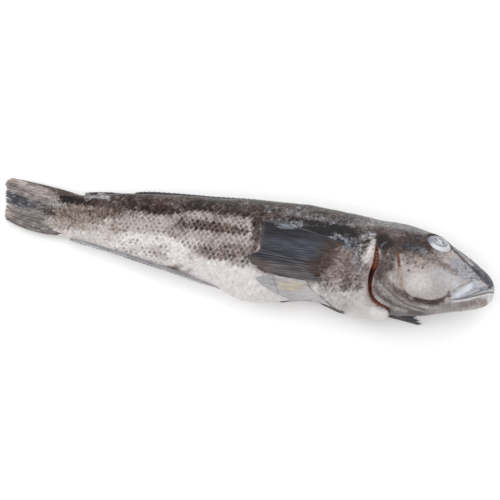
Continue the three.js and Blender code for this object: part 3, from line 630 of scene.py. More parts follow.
def paintSkin(place, back, high, upper):
    # Linear colour of the skin at each place, painted in layers
    rag = mottle(place, (7, 4, 5), 5)
    fine = mottle(place, (2.2, 1.3, 1.6), 6, 2)
    grain = mottle(place, 1.1, 7, 1)
    tone = coat("#dbd6d5", len(back))

    def stroke(line, wide, hexTone, strength=1.0, soft=0.5, ragged=0.25, fromShare=0.0, offset=0.0):
        nonlocal tone
        d, t = besideLine(line, back, high, wide * 2 + 3)
        d = np.abs(d - offset) + rag * ragged * wide
        ends = span(fromShare - 0.01, fromShare + 0.06, 0.94, 1.0, t)
        tone = wash(tone, hexTone, strength * ends * ease(wide * (1 + soft), wide * (1 - soft), d))

    def strokes(name):
        for row in drawnStrokes[name]:
            stroke(*row)

    # a brown-grey flank over the pale belly, a dark back over it, and then the marks
    for name, hexTone, soft, ragged in (("flank", "#a59c98", 2.4, 3), ("back", "#554c4a", 2.0, 2.4)):
        line = hermite(groundLines[name], np.clip(back, 90, trunk["end"]))
        tone = wash(tone, hexTone, ease(-soft, soft, high - line + ragged * rag))
    trunkShare, ridge = ease(97, 103, back), ease(22, 30, high)
    tone = paintMarks(tone, backMarks + flankMarks, back, high, rag)
    tone = paintMarks(tone, shoulderMarks, back, high, rag, np.maximum(trunkShare, (high < -33)))
    # the head has its own ground, and a slate crown
    tone = wash(tone, "#b8b0ae", ease(102, 97, back) * (high > -34))
    line = np.interp(back, *np.array(groundLines["crown"], float).T)
    tone = wash(tone, "#706d6f", 0.95 * ease(-1.5, 1.5, high - line + rag) * ease(103, 97, back))
    tone = paintMarks(tone, headMarks, back, high, rag, ease(103 + 36 * ridge, 99 - 10 * ridge, back))
    # snout: a streaked slate band below a thin painted highlight along its ridge, narrowing to a brown
    # line before the eye
    strokes("snoutBand")
    snout = mottle(place, (2.4, 1.2, 1.6), 35, 2) * ease(32, 26, back) * ease(-2, 2, high)
    tone = shade(tone, 0.6 * snout * ease(0.5, 0.25, tone.mean(-1)))
    strokes("headLines")
    # folds below the cheek: long streaks that run with its edge
    d, t = besideLine(face["cheekEdge"], back, high, 22)
    sweep = flatMottle(60 * t, d, (26, 1.7, 5), 8, 2)
    folded = span(0.8, 2.5, 14, 21, d) * ease(-8, -13, high) * ease(30, 45, back) * (back < 97)
    tone = shade(tone, 0.3 * sweep * folded)
    strokes("foldLines")
    # gill opening
    coverOff, coverShare = besideLine(face["cover"], back, high, 9)
    openOff, openShare = besideLine(face["opening"], back, high, 9)
    between = np.minimum(coverOff, -openOff) + 0.3 * fine
    window = ease(0, 0.03, coverShare) * ease(0, 0.03, openShare) * ease(1, 0.97, coverShare)
    inside = window * ease(-0.3, 0.3, between)
    red = coat("#8b5a4c", len(back))
    red = wash(red, "#3a221d", ease(-6, -11, high + 2.0 * fine) * ease(-21, -16, high))
    red = wash(red, "#825145", ease(-18, -23, high))
    tone = mix(tone, red, inside[:, None])
    rim = window * bell(between, 0.6) * (0.35 + 0.4 * fine)
    tone = wash(tone, "#93543f", rim * (0.3 + 0.6 * ease(-14, -22, high)))
    # a pale ragged strip behind it, spots, and a red corner of the mouth
    strokes("gillEdge")
    for spotBack, spotHigh, size in spots:
        away = np.hypot(back - spotBack, high - spotHigh) / size + 0.25 * fine
        tone = wash(tone, "#493e3c", 0.85 * ease(1.35, 0.5, away))
    away = np.hypot(back - 35.6, high + 15.6)
    tone = wash(tone, "#8a4032", ease(0.9, 0.4, away))
    # socket rim of the eye, dark at its upper rear
    away = eyeShare(place, upper)
    tone = wash(tone, "#5c5351", 0.8 * bell(away - 1.02, 0.07))
    tone = wash(tone, "#4a3a36", 0.85 * ease(1.3, 1.1, away) * ease(52, 58, back) * (away > 0.9))
    # short pale and dark hairs of skin that radiate over the fin's fleshy root
    offBack, offHigh = back - finPad["back"] + finPad["fan"], high - finPad["high"]
    hair = flatMottle(np.hypot(offBack, offHigh), 50 * np.arctan2(offHigh, offBack), (2.6, 0.9, 5), 28, 1)
    onRoot = ease(1.25, 0.95, padShare(back, high)) * upper
    tone = shade(tone, (0.08 + 0.4 * hair) * onRoot)
    # pale upright flecks on the shoulder and breast, dark ticks on the belly
    fleck = mottle(place, (1.1, 2.0, 2.0), 30, 1)
    shoulder = span(100, 106, 128, 142, back) * span(-40, -30, 3, 10, high)
    tone = shade(tone, (1 - 0.8 * onRoot) * shoulder * mix(0.38, 0.14, ease(-22, -30, high)) * fleck)
    belly = ease(130, 150, back) * ease(-10, -16, high)
    tone = shade(tone, -0.11 * belly * ease(0.45, 0.85, fleck))
    for line in scratches:
        stroke(line, 0.22, "#8d8889", 0.7, 0.9, 0.9)
    # ice frozen to the skin
    lumps = mottle(place, (2.4, 1.5, 2.0), 10, 2)
    for centreBack, centreHigh, along, across, tilt, _, strength in frost["patches"]:
        share = strength * patch(back, high, rag, centreBack, centreHigh, along, across, tilt, 0.6)
        tone = wash(tone, "#8b8f99", share * ease(-0.15, 0.6, lumps))
    # freckles, finer on the head, and unevenness everywhere
    freckled = (ease(-6, 3, high) * span(40, 50, 90, 100, back) * 0.6
                + 0.5 * ease(100, 106, back) * ease(-30, -22, high) + 0.5 * ease(10, 14, high))
    freckles = 0.2 * ease(0.2, 0.7, -fine) - 0.42 * ease(0.25, 0.7, fine)
    tone = shade(tone, np.clip(freckled, 0, 1) * freckles)
    dappled = ease(11, 18, high) * span(92, 128, 300, 325, back)
    dappled = dappled * (1 - 0.75 * bell(high - 25.8, 3) * ease(200, 185, back))
    blot = mottle(place, (3.0, 1.7, 2.0), 29, 3)
    tone = wash(tone, "#382c29", 0.7 * dappled * ease(0.15, 0.6, blot))
    tone = wash(tone, "#8d8582", 0.45 * dappled * ease(0.25, 0.75, -blot) * ease(265, 235, back))
    tone = wash(tone, "#77706d", 0.6 * span(250, 265, 330, 350, back) * ease(8, 13, high)
                * ease(0.3, 0.8, -blot))
    # ringed spots on the upper cheek
    ringed = span(55, 60, 84, 90, back) * span(-1, 4, 11, 14, high)
    spotted = mottle(place, (2.6, 2.4, 2.4), 33, 1)
    tone = wash(tone, "#55474a", 0.7 * ringed * bell(spotted - 0.35, 0.16))
    # frosty base of the dorsal fin, on the upper flank only
    overRidge = ease(2, 7, place[:, 2] - plane(back))
    stroke([(314, 21.2), (325, 20.4), (336, 18.2)], 1.6, "#c0bcbd", 0.85 * overRidge, 0.8, 1.0)
    uneven = 0.035 + 0.13 * ease(6, 16, high) * ease(60, 110, back)
    gritty = ease(0.5, 0.25, tone.mean(-1)) * (1 - 0.6 * ease(-12, -17, high) * ease(72, 60, back))
    grit = mottle(place, 0.8, 36, 1)
    tone = shade(tone, uneven * rag + 0.05 * grain + mix(0.26, 0.4, trunkShare) * gritty * grit)
    return np.clip(tone, 0.002, 1)


def netStrength(back, high):
    # How strongly each scale is dark in its middle and pale at its edge
    band = lambda low, lowSoft, top, topSoft: span(low - lowSoft, low + lowSoft, top - topSoft,
                                                   top + topSoft, high)
    bellyEdge = np.interp(back, *np.array(scales["bellyEdge"]).T)
    onFlank = span(190, 196, 246, 264, back) * ease(-0.5, 3, high - bellyEdge)
    parts = (onFlank * band(-1, 2, 9, 2), 0.9 * onFlank * band(-21, 2, -8.5, 2),
             0.5 * onFlank * band(-24, 3, 20, 2),
             0.14 * span(236, 262, 340, 366, back) * band(-10, 4, 14, 3),
             0.2 * span(100, 115, 140, 150, back) * ease(-27, -21, high),
             0.15 * ease(14, 18, high) * ease(180, 200, back))
    return np.maximum(np.maximum.reduce(parts), 0.03)


def makeSkin():
    # A grid of rings along the fish. Rings are closer on the head, and the columns closer on the
    # upper flank; a single point closes each end.
    rows, columns = trunk["rows"], trunk["columns"]
    back = np.interp(np.arange(1, rows + 1) / (rows + 1), *np.array(trunk["rings"]).T)
    first = trunk["snoutRings"]
    back[:first] = trunk["snoutLong"] * (np.arange(1, first + 1) / (first + 0.5)) ** 1.7
    turn = 2 * math.pi * np.interp(np.arange(columns) / columns, *np.array(trunk["round"]).T)
    back, turn = np.meshgrid(back, turn, indexing="ij")
    place, high, _ = skinAt(back, turn)
    tone = paintSkin(smoothBody(back, turn).reshape(-1, 3), back.ravel(), high.ravel(),
                     np.sin(turn).ravel() > 0)
    ends = smoothBody(np.array([0.0, trunk["end"]]), np.array([0, quarter]))
    ring = np.arange(columns)
    faces = [gridFaces(rows, columns, True), capFaces(rows * columns, ring),
             capFaces(rows * columns + 1, (rows - 1) * columns + ring, True)]
    piece = makePiece("fishSkin", np.concatenate([place.reshape(-1, 3), ends]), faces,
                      np.concatenate([tone, tone[:1], tone[-1:]]))
    placeOn(piece, "skin", "body")
    return piece


scales = {
    "from": 104, "to": 362,
    "pitch": [(104, 2.7), (135, 3.2), (190, 4.3), (300, 4.2), (345, 3.5), (362, 2.8)],
    "rowShare": 0.70,      # distance of two rows, as a share of the pitch
    "rows": 44,            # on each side of the middle of the upper flank
    "along": [-1, -0.4, 0, 0.3, 0.58, 0.82, 1.0], "across": 7,    # the plate's grid
    "long": 1.28, "lift": 0.26, "spread": 0.95, "girthRings": 140, "girthSteps": 721,
    "profile": [(-1, -0.5), (-0.4, -0.05), (0.3, 0.6), (0.82, 1.0), (1, -0.35)],    # height along a plate
    "bellyEdge": [(190, -26), (208, -23.7), (228, -19.7), (246, -14.5), (262, -8)],    # of the bold net
    "bare": [(0, 108, -34, 12, 0), (130, 180, -20, 8, 40)],    # back and height from, to; lowest rise
}


def girthTable():
    # Arc length round the body from the middle of the upper flank, for many rings at once
    back = np.linspace(scales["from"] - 8, scales["to"] + 6, scales["girthRings"])
    turn = np.linspace(-quarter, 4 * quarter, scales["girthSteps"])
    ring = smoothBody(back[:, None] + 0 * turn, turn + 0 * back[:, None])
    step = np.linalg.norm(np.diff(ring, axis=1), axis=-1)
    arc = np.concatenate([np.zeros((len(back), 1)), np.cumsum(step, axis=1)], axis=1)
    middle = np.argmin(np.abs(turn - quarter))
    return back, turn, arc - arc[:, middle:middle + 1]


def makeScales():
    # Overlapping plates set out in rows along the body, each row half a scale behind its neighbour.
    # A plate is a grid of 7 by 7 points: sunk at its front and sides, lifted towards its rear edge.
    rng = np.random.default_rng(23)
    centres, pitches, at = [], [], scales["from"]
    while at < scales["to"]:
        pitches.append(float(np.interp(at, *np.array(scales["pitch"]).T)))
        centres.append(at)
        at += pitches[-1]
    centres, pitches = np.array(centres)[:, None], np.array(pitches)[:, None]
    ringBack, ringTurn, arc = girthTable()
    row = np.arange(-scales["rows"], scales["rows"] + 1)
    back, pitch = (centres + pitches * 0.5 * (row % 2)).ravel(), (pitches + 0 * row).ravel()
    offset = (pitches * scales["rowShare"] * row).ravel()
    back = back + rng.normal(0, 0.06, len(back)) * pitch
    offset = offset + rng.normal(0, 0.04, len(back)) * pitch
    apart = 1000.0     # keeps the rings' arc lengths apart on one long line

    def turnOf(b, o):
        # Looks the arc length up in the nearest ring, all rings end to end on one line
        k = np.clip(np.round((b - ringBack[0]) / (ringBack[1] - ringBack[0])), 0, len(ringBack) - 1)
        line = (arc + apart * np.arange(len(ringBack))[:, None]).ravel()
        return np.interp(o + apart * k, line, np.tile(ringTurn, len(ringBack)))

    half = np.interp(back, ringBack, arc[:, -1] - arc[:, 0]) / 2
    _, high, rise = smoothBody(back, turnOf(back, offset)).T
    keep = (np.abs(offset) < half - 0.6) & (back < scales["to"]) & (rise > 1.2)
    for back0, back1, high0, high1, rise0 in scales["bare"]:
        keep &= ~((back > back0) & (back < back1) & (high > high0) & (high < high1) & (rise > rise0))
    keep &= (padShare(back, high) > 1.0) | (rise < 40)
    back, pitch, offset = back[keep, None], pitch[keep, None], offset[keep, None]
    each, count = len(scales["along"]) * scales["across"], len(back)
    across = np.linspace(-1, 1, scales["across"])
    u, v = (grid.ravel() for grid in np.meshgrid(scales["along"], across, indexing="ij"))
    b = back + u * scales["long"] * pitch / 2 * (1 - 0.22 * v**2 * (u > 0))
    narrow = 1 - 0.5 * np.clip(u, 0, 1) ** 2
    o = offset + v * narrow * scales["rowShare"] * pitch * scales["spread"]
    turn = turnOf(b, o)
    middle = smoothBody(back[:, 0], turn[:, each // 2])
    centreBack, centreHigh = back + 0 * u, middle[:, 1:2] + 0 * u
    net = netStrength(centreBack, centreHigh)
    bold = scales["lift"] * (pitch / 4.3) * (0.35 + 0.65 * ease(0.1, 0.6, net))
    raised = np.interp(u, *np.array(scales["profile"]).T) - 0.55 * np.abs(v) ** 3
    tilt = rng.normal(0, 0.22, (count, 1)) * v
    place, high, _ = skinAt(b, turn, (raised + tilt * (u > -0.5)) * bold)
    painted = (0.5 * middle[:, None] + 0.5 * smoothBody(b, turn)).reshape(-1, 3)
    mean = paintSkin(painted, (0.5 * centreBack + 0.5 * b).ravel(),
                     (0.5 * centreHigh + 0.5 * high).ravel(), (np.sin(turn) > 0).ravel())
    # the heart is an oval, the rim a pale arc round the rear edge
    uneven = np.clip(1 + 0.22 * rng.normal(0, 1, (count, 1)), 0.4, 1.35)
    shiftU, shiftV = (rng.normal(0, 0.09, (count, 1)) for _ in range(2))
    heart = ease(1.2, 0.55, np.hypot((u - 0.28 - shiftU) / 0.66, (v - shiftV) / 0.74))
    rim = np.maximum(ease(0.6, 0.9, u), 0.7 * ease(0.62, 0.95, np.abs(v)))
    dot = ease(0.8, 0.25, np.hypot((u - 0.3) / 0.7, v / 0.7)) * span(252, 262, 296, 316, centreBack)
    light = 1 + 0.1 * net - 0.64 * net * heart * uneven + 0.75 * net * rim * (centreBack > 190)
    light = light - 0.7 * dot * ease(13, 10, centreHigh) * rng.random((count, 1)) ** 1.3
    dark = ease(0.45, 0.1, mean.mean(-1)).reshape(b.shape)
    light = light * (1 + (0.03 + 0.16 * dark) * rng.normal(0, 1, (count, 1)))
    speckled = 0.05 + 0.1 * dark + 0.12 * ease(255, 300, centreBack)
    light = light * (1 + speckled * rng.normal(0, 1, b.shape))
    worn = (rng.random((count, 1)) < 0.09) * dark * rim * (centreHigh > 14)
    tone = np.clip(mean * (light + 0.6 * worn).reshape(-1, 1), 0.002, 0.95).reshape(-1, each, 3)
    upper, pieces = np.sin(turn[:, each // 2]) > 0, []
    for name, chosen in (("scalesRight", upper), ("scalesLeft", ~upper)):
        faces = copies(gridFaces(len(scales["along"]), scales["across"]), each, chosen.sum())
        pieces.append(makePiece(name, place[chosen].reshape(-1, 3), [faces], tone[chosen].reshape(-1, 3)))
        placeOn(pieces[-1], "skin")
        print(name, chosen.sum())
    return pieces


gills = {
    "blades": 74, "rings": 6, "sides": 4, "depth": 4.6, "radius": 0.34,
    "along": (0.07, 0.93),     # from the first to the last blade, as shares of the opening's length
    "across": (-0.25, 1.1),    # from under the cover to behind the opening, as shares of the gap
}


def makeGills(flank):
    # Fine leaves across the gill opening. Each is a tapered tube of 4 sides that runs from under the
    # cover to the rear wall, bowed outwards in a half sine.
    rng = np.random.default_rng(31 if flank > 0 else 32)
    rings, sides, (near, far) = gills["rings"], gills["sides"], gills["across"]
    t = np.linspace(*gills["along"], gills["blades"])
    lines = (bend(face[name]) for name in ("cover", "opening"))
    start, end = (np.stack([np.interp(t, np.linspace(0, 1, len(line)), column) for column in line.T], -1)
                  for line in lines)
    w = np.linspace(near, far, rings)[None, :, None]
    path = start[:, None] + (end - start)[:, None] * w
    path[..., 1] += rng.normal(0, 0.35, (len(t), 1)) - 1.3 * w[..., 0] * (t < 0.8)[:, None]
    back, high = path[..., 0], path[..., 1]
    wave = np.sin(math.pi * np.clip((w[..., 0] - near) / (far - near), 0, 1))
    sunk = -gills["depth"] + (2.5 + rng.normal(0, 0.35, (len(t), 1))) * wave
    turn = turnAt(back, high, flank)
    centre = smoothBody(back, turn) + outward(back, turn) * sunk[..., None]
    angle = 2 * math.pi * np.arange(sides) / sides
    radius = gills["radius"] * np.interp(w[0, :, 0], [-0.25, 0.2, 0.8, 1.1], [0.7, 1, 1, 0.4])
    ring = np.stack([0 * angle, np.cos(angle), 1.6 * np.sin(angle)], -1)
    place = centre[:, :, None] + radius[None, :, None, None] * ring
    place[..., 2] = np.maximum(place[..., 2], 0.1)
    caps = np.array([[0, 1, 2, 3], [(rings - 1) * sides + k for k in (3, 2, 1, 0)]])
    faces = copies(np.concatenate([gridFaces(rings, sides, True), caps]), rings * sides, len(t))
    # dark in the middle of the opening, paler at both ends
    tone = shade(coat("#7e4637", len(t), rings, sides), -0.6 * span(-7, -11, -17, -22, high)[..., None])
    tone = shade(tone, 0.4 * rng.normal(0, 1, (len(t), 1, 1)))
    pale = np.maximum(ease(-8, 0, high), ease(-24, -29, high))[..., None]
    tone = np.clip(wash(tone, "#a8786a", 0.75 * pale), 0.004, 0.6)
    name, node = sideNames("gills", "gills", flank)
    piece = makePiece(name, place.reshape(-1, 3), [faces], tone.reshape(-1, 3))
    placeOn(piece, "gills", node)
    return piece


def makeEye(flank):
    # A low dome of rings: height = bulge * (1 - r^2) - how far the rim is sunk, closed below.
    rings, sides = eye["rings"], eye["sides"]
    r = np.concatenate([np.linspace(0.03, 1, rings), [1.02, 0.9]])
    gr, ga = np.meshgrid(r, 2 * math.pi * np.arange(sides) / sides, indexing="ij")
    x, y = gr * np.cos(ga), gr * np.sin(ga)     # x towards the tail, y towards the back ridge
    height = eye["bulge"] * (1 - gr**2) - eye["rimSunk"] * gr**6 + 0.3 * bell(gr - 0.78, 0.07)
    height = height - 0.25 * bell(gr - 0.6, 0.05)
    height[-1] -= eye["deep"]
    place = (eyeCentre + eye["radius"] * (x[..., None] * eyeAlong + y[..., None] * eye["tall"] * eyeUp)
             + height[..., None] * eyeOut).reshape(-1, 3)
    place = np.concatenate([place, [eyeCentre + eye["bulge"] * eyeOut, eyeCentre - 3.5 * eyeOut]])
    x, y, r0 = x.ravel(), y.ravel(), gr.ravel()
    cloud = mottle(place[:-2], 3.2, 9)
    # milky iris ring, whitest below and in front; an oval pupil clouded white between dark crescents
    tone = coat("#a8a9b3", r0.size)
    tone = wash(tone, "#dfe0e7", ease(0.45, 0.75, r0) * ease(0.0, -0.6, y + 0.35 * x))
    tone = wash(tone, "#878893", 0.75 * ease(0.5, 0.7, r0) * ease(-0.2, 0.7, x + 0.5 * cloud)
                * ease(-0.9, -0.2, y))
    tone = wash(tone, "#a2a3ad", 0.7 * bell(r0 - 0.86 - 0.05 * cloud, 0.04) * ease(-0.8, 0.3, y))
    tone = wash(tone, "#d3d4dc", 0.7 * bell(r0 - 0.72, 0.06) * ease(0.6, -0.2, x))
    oval = np.hypot((x + 0.02) / 0.5, (y + 0.06) / 0.46)
    tone = wash(tone, "#7b7c86", 0.85 * bell(oval - 1.05 - 0.05 * cloud, 0.1))
    tone = wash(tone, "#bfc0c8", 0.8 * ease(0.98, 0.8, oval))
    for centreX, centreY, wideX, wideY, slant, hexTone, strength, edge, ragged in eye["clouds"]:
        away = np.hypot((x - centreX - slant * (y - centreY)) / wideX, (y - centreY) / wideY)
        tone = wash(tone, hexTone, strength * ease(1.3, edge, away + ragged * cloud))
    tone = wash(tone, "#4f4746", 0.9 * ease(0.88, 0.97, r0) * ease(-0.1, 0.45, y))
    tone = wash(tone, "#a89a92", 0.6 * ease(0.95, 1.0, r0) * ease(0.2, -0.6, x))
    tone = shade(tone, 0.07 * cloud)
    ring = np.arange(sides)
    faces = [gridFaces(len(r), sides, True), capFaces(gr.size, ring),
             capFaces(gr.size + 1, (len(r) - 1) * sides + ring, True)]
    name, node = sideNames("eye", "eye", flank)
    piece = makePiece(name, place if flank > 0 else mirrored(place), faces,
                      np.clip(np.concatenate([tone, tone[:1], tone[-1:]]), 0, 1))
    placeOn(piece, "eye", node)
    return piece


def thinPlate(name, top, bottom, toneTop, toneBottom, slotName, node):
    # A fin: a top and a bottom grid of the same size, joined round their edge
    rows, columns = top.shape[:2]
    place = np.concatenate([top.reshape(-1, 3), bottom.reshape(-1, 3)])
    tone = np.concatenate([toneTop.reshape(-1, 3), toneBottom.reshape(-1, 3)])
    piece = makePiece(name, place, plateFaces(rows, columns), np.clip(tone, 0.002, 1))
    placeOn(piece, slotName, node)
    return piece


def finGrid(fin):
    # Shares along (u) and across (v) a fin, and the phase of its rays
    rows, columns = fin["along"], fin["rays"] * fin["perRay"] + 1
    u, v = np.meshgrid(np.linspace(0, 1, rows), np.linspace(0, 1, columns), indexing="ij")
    return u, v, 2 * math.pi * fin["rays"] * v


def splits(rows, v):
    # How much shorter the edge is at its splits: bell curves, as (place, half width, depth)
    return sum(depth * bell(v - place, width) for place, width, depth in rows)


def lineAt(line, share):
    # Point of a drawn line at a share of its length
    points = bend(line, 12)
    gone = np.concatenate([[0], np.cumsum(np.hypot(*np.diff(points, axis=0).T))])
    return np.stack([np.interp(share * gone[-1], gone, points[:, k]) for k in (0, 1)], -1)


upperFin = {  # right pectoral fin, lying on the flank
    "root": [(117, 5.2), (123.5, 2.8), (128.5, -0.8), (132.6, -5.4), (134.6, -10.5), (135, -15.5),
             (133.4, -20), (131, -23.4)],
    "tip": [(190.5, 16.0), (189.6, 9.4), (189.2, 3), (188.6, -3), (188.0, -8.5), (196.6, -15.2),
            (189.0, -21.5), (180, -25.4)],
    "rays": 22, "perRay": 8, "along": 88, "bow": 2.4, "thick": 0.5, "ridge": 0.2,
    "splits": [(0.6, 0.012, 0.05), (0.82, 0.014, 0.045)],
    "marks": [
        ("#2f2e33", 0.95, 172, 9.5, 26, 6.5, 6, 0.5),
        ("#34343a", 0.8, 165, 3, 34, 5, 3, 0.7),
        ("#4a4e59", 0.75, 158, -3, 24, 4.5, 4, 0.8),
        ("#44474f", 0.7, 148, 2, 12, 6, 0, 0.8),
        ("#313034", 0.8, 180, -11, 14, 3.2, 10, 0.7),
        ("#625e5f", 0.9, 163, -19.8, 27, 4.6, 0, 0.5),
        ("#5b5250", 0.9, 184, -19.6, 11, 3.6, 14, 0.6),
        ("#4b4240", 0.8, 189, 0, 2.0, 11, 0, 0.6),
        ("#3b3331", 0.9, 189, 12, 3.0, 5, 0, 0.5),
        ("#878b95", 0.8, 168.5, 13.8, 7, 2.4, -12, 0.8),  # frost
        ("#6d7079", 0.7, 177, 15.6, 6, 2.0, -5, 0.8),
    ],
}


def makeUpperFin():
    # Rays run from the fleshy root to the tip line; between rays the skin dips by a cosine. The fin
    # follows the flank under it, and bows up a little along its upper rays by a half sine.
    s = upperFin
    rng = np.random.default_rng(41)
    u, v, phase = finGrid(s)
    u = u ** 0.9
    perRay = rng.normal(0, 1, s["rays"] + 2)
    short = np.interp(v * s["rays"], np.arange(s["rays"] + 2), perRay)
    worn = 0.014 * np.abs(np.sin(phase / 2)) ** 0.7 + 0.010 * np.abs(short)
    reach = u * (1 - (worn + splits(s["splits"], v)) * ease(0.55, 1, u))
    flat = mix(lineAt(s["root"], v), lineAt(s["tip"], v), reach[..., None])
    back = flat[..., 0]
    high = flat[..., 1] + s["bow"] * (1 - v) * np.sin(math.pi * u) + 0.25 * np.sin(9 * u + 5 * v) * u
    high = high + 0.35 * flatMottle(40 * u, 14 * v, (9, 2, 3), 25, 2) * ease(0.88, 1, v)
    edge = span(0, 0.04, 0.93, 1, v)
    rise = mix(-0.5, 1.2, ease(0, 0.16, u)) - 0.35 * ease(0.3, 0.8, u)
    ridge = s["ridge"] * np.cos(phase) * ease(0, 0.3, u) * (1 - 0.35 * u)
    fold = 0.35 * flatMottle(back, high, (16, 6, 9), 12) * u * ease(0, 0.3, u)
    top = rise * (0.35 + 0.65 * edge) + fold + ridge + 0.07 * np.cos(2 * phase) * ease(0.35, 0.8, u)
    skin, _, normal = skinAt(back, turnAt(back, high))
    upperSide = skin + normal * np.maximum(top, mix(-0.5, 0.4, ease(0, 0.12, u)))[..., None]
    lowerSide = upperSide - normal * (s["thick"] * (1 - 0.55 * u) * (0.2 + 0.8 * edge))[..., None]
    rag = flatMottle(back, high, (12, 2.2, 5), 13)
    tone = paintMarks(coat("#3d3d43", *u.shape), s["marks"], back, high, rag)
    streak = np.cos(phase + 0.6 * np.sin(3 * u)) * (0.12 + 0.12 * span(-15, -8, -5, 0, high))
    hair = flatMottle(9 * u, 48 * v, (1.6, 1, 1), 14, 2)
    tone = shade(tone, streak + 0.42 * hair)
    pale = ease(0.3, 0.8, flatMottle(back, high, (26, 0.9, 5), 15, 2))
    tone = wash(tone, "#7d818b", 0.45 * pale * span(-17, -12, -6, -1, high) * ease(0.1, 0.3, u))
    # the fleshy root is brown and fades into the slate blade, ray by ray
    brown = ease(mix(0.36, 0.2, ease(0.55, 0.9, v)), 0.08, u + 0.08 * rag + 0.09 * hair)
    root = shade(mix(linear("#6a5a54"), linear("#483c38"), ease(0.0, 0.1, u)[..., None]), 0.5 * hair)
    tone = mix(tone, root, brown[..., None])
    patchy = flatMottle(back, high, (5, 3, 5), 24, 2)
    tone = wash(tone, "#6c6261", 0.6 * ease(0.1, 0.8, patchy) * ease(0.75, 0.9, v))
    tone = wash(tone, "#8f8885", 0.7 * ease(0.955, 1.0, v) * ease(-0.4, 0.4, patchy))
    tone = wash(tone, "#6d605c", 0.3 * ease(0.94, 1.0, u) * (1 + rag))
    tone = wash(tone, "#6b6c73", 0.6 * ease(0.035, 0.0, v) * ease(0.25, 0.5, u))
    # the lower side, towards the body, gets the same paint a fifth darker as painted shade
    return thinPlate("pectoralFinRight", upperSide, lowerSide, tone, 0.8 * tone, "dark_fin",
                     "pectoral_fin_right")


lowerFin = {  # left pectoral fin, pushed forward on the table under the throat
    "root": [(112, -22.5), (108, -26), (103, -29.5)],
    "tip": [(60, -22.4), (55.4, -23.5), (55.2, -26), (50.8, -31.8), (57.5, -31.2), (66, -29.6)],
    "rays": 9, "perRay": 8, "along": 44, "thick": 0.7,
}


def makeLowerFin():
    # The same fan, but lying on the table: its height comes down from the body's side to the table
    s = lowerFin
    u, v, phase = finGrid(s)
    spiky = 0.07 * np.abs(np.sin(phase / 2)) ** 0.8 + 0.03 * np.cos(7 * v)
    flat = mix(lineAt(s["root"], v), lineAt(s["tip"], v), (u * (1 - spiky * ease(0.6, 1, u)))[..., None])
    lift = mix(7.0, 1.4, ease(0, 0.5, u)) + 0.25 * np.cos(phase) * ease(0, 0.1, u)
    lift = lift + 0.9 * ease(0.55, 1, u) * np.sin(math.pi * np.clip(v, 0, 1))
    upperSide = np.stack([-flat[..., 0], flat[..., 1], lift], -1)
    lowerSide = upperSide - [0, 0, 1] * (s["thick"] * (1 - 0.5 * u))[..., None]
    lowerSide[..., 2] = np.maximum(lowerSide[..., 2], 0.3)
    rag = flatMottle(60 * u, 12 * v, (14, 1.1, 5), 16)
    tone = shade(coat("#626066", *u.shape), 0.25 * np.cos(phase) + 0.3 * rag)
    tone = wash(tone, "#97928f", 0.75 * ease(0.1, 0.6, rag) * ease(0.35, 0.7, u))
    tone = wash(tone, "#2c2b31", 0.8 * ease(0.5, 0.7, v) * ease(0.75, 0.9, u))
    tone = wash(tone, "#6a5751", 0.6 * ease(0.35, 0.1, u))
    return thinPlate("pectoralFinLeft", upperSide, lowerSide, tone, tone, "dark_fin", "pectoral_fin_left")


pelvicFin = {
    "root": [(148, -24.2), (143.9, -28.4), (138.7, -30.9), (129.7, -34.7)],
    "tip": [(176, -25.6), (186, -29.8), (182.3, -32.4), (170, -36.0), (158, -36.8)],
    "crease": [(175, -24), (170, -31), (166, -37)],
    "rays": 7, "perRay": 12, "along": 70, "thick": 0.7, "sag": 0.4,
    "marks": [
        ("#bfbcbd", 0.8, 142, -30, 14, 4, -6, 0.6),
        ("#a09fa2", 0.8, 178, -29.5, 11, 4, 0, 0.6),
        ("#beb3a5", 0.9, 158, -29.2, 10.5, 3.2, -8, 0.35),
        ("#b0adae", 0.6, 160, -35.5, 16, 1.8, 0, 0.7),
    ],
}


def makePelvicFin(flank):
    # A pale fleshy fin folded flat along the belly: thick in its middle rays, thin at its edges, with
    # one crease across it
    s = pelvicFin
    u, v, phase = finGrid(s)
    worn = 0.03 * np.abs(np.sin(phase / 2))
    flat = mix(lineAt(s["root"], v), lineAt(s["tip"], v), (u * (1 - worn * ease(0.6, 1, u)))[..., None])
    back, high = flat[..., 0], flat[..., 1] - s["sag"] * np.sin(math.pi * u) * v
    edge = span(0, 0.12, 0.88, 1, v)
    crease, _ = besideLine(s["crease"], back.ravel(), high.ravel(), 6)
    crease = bell(crease.reshape(back.shape), 0.6)
    top = mix(0.15, 0.9, ease(0, 0.3, u)) * (0.35 + 0.65 * edge) + 0.14 * np.cos(phase) * ease(0, 0.15, u)
    top = top + 0.35 * edge - 0.35 * crease
    skin, _, normal = skinAt(back, turnAt(back, high, flank))
    upperSide = skin + normal * top[..., None]
    lowerSide = upperSide - normal * (s["thick"] * (1 - 0.5 * u) * (0.35 + 0.65 * edge))[..., None]
    for side in (upperSide, lowerSide):
        side[..., 2] = np.maximum(side[..., 2], 0.05)
    rag = flatMottle(back, high, (9, 2, 5), 17)
    tone = paintMarks(coat("#b4b2b3", *u.shape), s["marks"], back, high, rag)
    tone = shade(tone, 0.05 * np.cos(phase) + 0.05 * rag)
    # painted shade along the crease, and darker at the tip's edge
    tone = wash(tone, "#7d797b", 0.5 * crease + 0.4 * ease(0.97, 1, u))
    name, node = sideNames("pelvicFin", "pelvic_fin", flank)
    return thinPlate(name, upperSide, lowerSide, tone, tone, "pale_fin", node)


